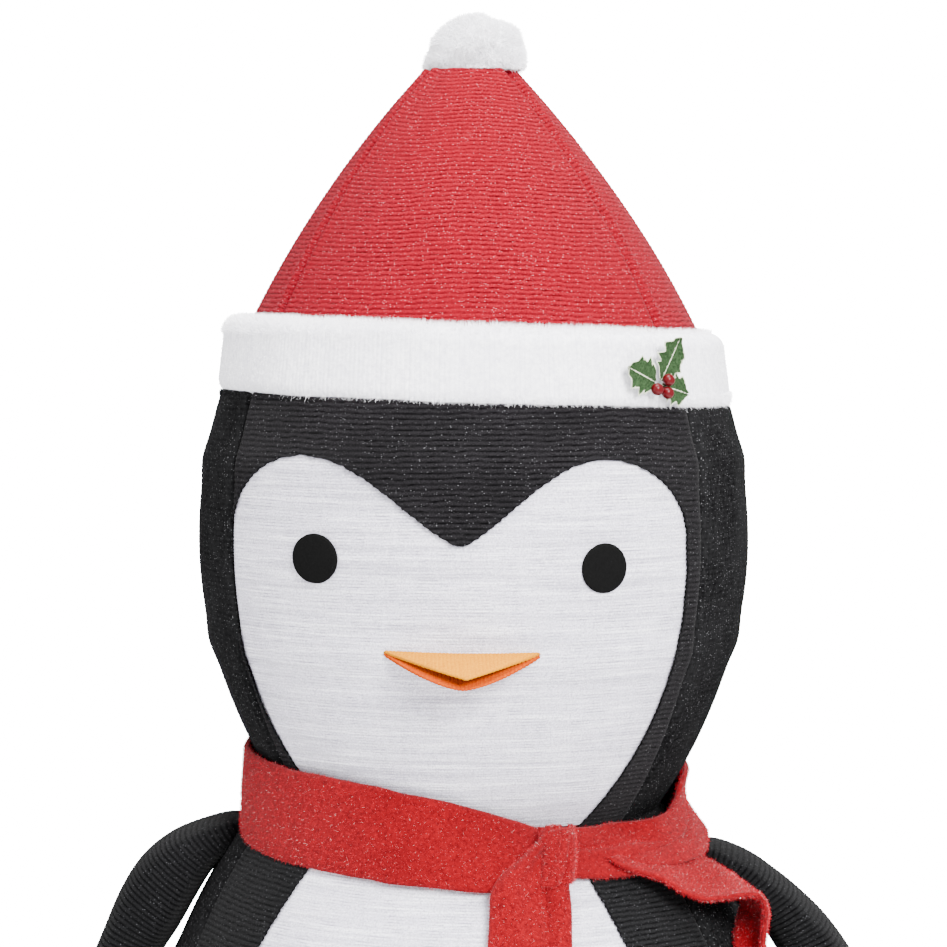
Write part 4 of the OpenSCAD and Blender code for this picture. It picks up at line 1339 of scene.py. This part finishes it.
def build_yoke():
    """Ring of black cloth under the scarf, from the top of the torso to the head's foot."""
    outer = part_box("shoulder_yoke")[1][0] - 0.6 * MM
    inner = HEAD.radius(HEAD_BOTTOM) - 1 * MM
    r, az = np.meshgrid(np.linspace(outer, inner, 16), full_turn(200), indexing="ij")
    rise = smooth((outer - r) / (outer - inner))
    z = TORSO_TOP - 0.8 * MM + r * np.cos(az) * SHOULDER_TILT * (1 - rise) + 7 * MM * rise
    z = z + 0.4 * MM * np.sin(az * 40) * np.sin(np.pi * rise)
    ring_cloth("shoulder_yoke_cloth", "shoulder_yoke", r, az, z,
               lambda points: np.full(points.shape[0] * points.shape[1], 0.7))


def build_bottom_cloth():
    """Round of black cloth under the torso, gathered to a hole for the mast socket."""
    low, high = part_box("torso_bottom_panel")
    outer = high[0] - 0.5 * MM
    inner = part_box("mast_coupler")[1][0] + 1.2 * MM
    r, az = np.meshgrid(np.linspace(inner, outer, 50), full_turn(240), indexing="ij")
    pleat = 0.3 * MM * np.sin(az * 36) * smooth((outer - r) / (outer * 0.8))
    ring_cloth("torso_bottom_cloth", "torso_bottom_panel", r, az, (low[2] + high[2]) / 2 + pleat,
               lambda points: cord_rib(points[..., 1] / RIB_PITCH).ravel())


# ---- Lights, floor and camera --------------------------------------------------------

AMBIENT = 1.5                    # strength of the white surroundings as a light
BACKDROP = 22                    # their strength as the camera sees them
CAMERA_DISTANCE = 2.2
CAMERA_ANGLE = math.radians(3)
CAMERA_Z = 0.99
CAMERA_AIM = (0, 0, 0.879)
CAMERA_LENS = 119.6
LIGHTS_AIM = (0, 0, 0.85)
# Name, place, width in metres and power in watts of each soft light
LIGHTS = (("key", (1.5, -2.5, 2.3), 1.3, 400), ("fill", (-2.4, -1.7, 1.2), 1.6, 70),
          ("top", (0.1, -0.5, 2.9), 1.2, 150), ("back", (0.5, 2.3, 2.2), 1.6, 50))


def point_at(obj, target):
    """Turns a light or the camera, which look along their own -Z, towards a point."""
    aim = Vector(target) - obj.location
    obj.rotation_euler = aim.to_track_quat("-Z", "Y").to_euler()


def main_stage():
    """Pale round floor, white surroundings, soft lights and the camera."""
    scene = bpy.context.scene
    world = bpy.data.worlds.new("studio")
    world.use_nodes = True
    tree = world.node_tree
    path = tree.nodes.new("ShaderNodeLightPath").outputs["Is Camera Ray"]
    glow = tree.nodes.new("ShaderNodeMapRange")
    tree.links.new(path, glow.inputs["Value"])
    glow.inputs["To Min"].default_value = AMBIENT
    glow.inputs["To Max"].default_value = BACKDROP
    tree.links.new(glow.outputs["Result"], tree.nodes["Background"].inputs["Strength"])
    tree.nodes["Background"].inputs["Color"].default_value = (1, 1, 1, 1)
    scene.world = world
    bpy.ops.mesh.primitive_circle_add(vertices=128, radius=2, fill_type="NGON",
                                      location=(0, 0, -0.5 * MM))
    floor = bpy.context.object
    floor.name = "floor"
    n = Nodes("floor_paint", roughness=0.8)
    paint = n.mix(n.noise(3), rgb(0.8, 0.8, 0.8), rgb(0.84, 0.84, 0.84))
    floor.data.materials.append(n.finish(paint))
    for name, place, size, power in LIGHTS:
        light = bpy.data.lights.new(name, "AREA")
        light.size, light.energy = size, power
        lamp = bpy.data.objects.new(name, light)
        lamp.location = place
        point_at(lamp, LIGHTS_AIM)
        bpy.context.collection.objects.link(lamp)
    camera = bpy.data.objects.new("camera", bpy.data.cameras.new("camera"))
    camera.location = (CAMERA_DISTANCE * math.sin(CAMERA_ANGLE),
                       -CAMERA_DISTANCE * math.cos(CAMERA_ANGLE), CAMERA_Z)
    point_at(camera, CAMERA_AIM)
    camera.data.lens = CAMERA_LENS
    bpy.context.collection.objects.link(camera)
    scene.camera = camera


main_stage()
finish_cad_nodes()
build_torso()
build_head()
build_hat()
build_hat_top()
build_hat_edge_hairs()
build_brim()
build_brim_fringe()
build_pompom()
build_eyes()
build_beak()
build_holly()
build_scarf_band()
build_front_tail()
build_knot()
build_side_tail()
build_flipper("flipper_left", -1, FLIPPER_LEFT)
build_flipper("flipper_right", 1, FLIPPER_RIGHT)
build_foot("foot_left", -1)
build_foot("foot_right", 1)
build_bottom_cloth()
build_yoke()
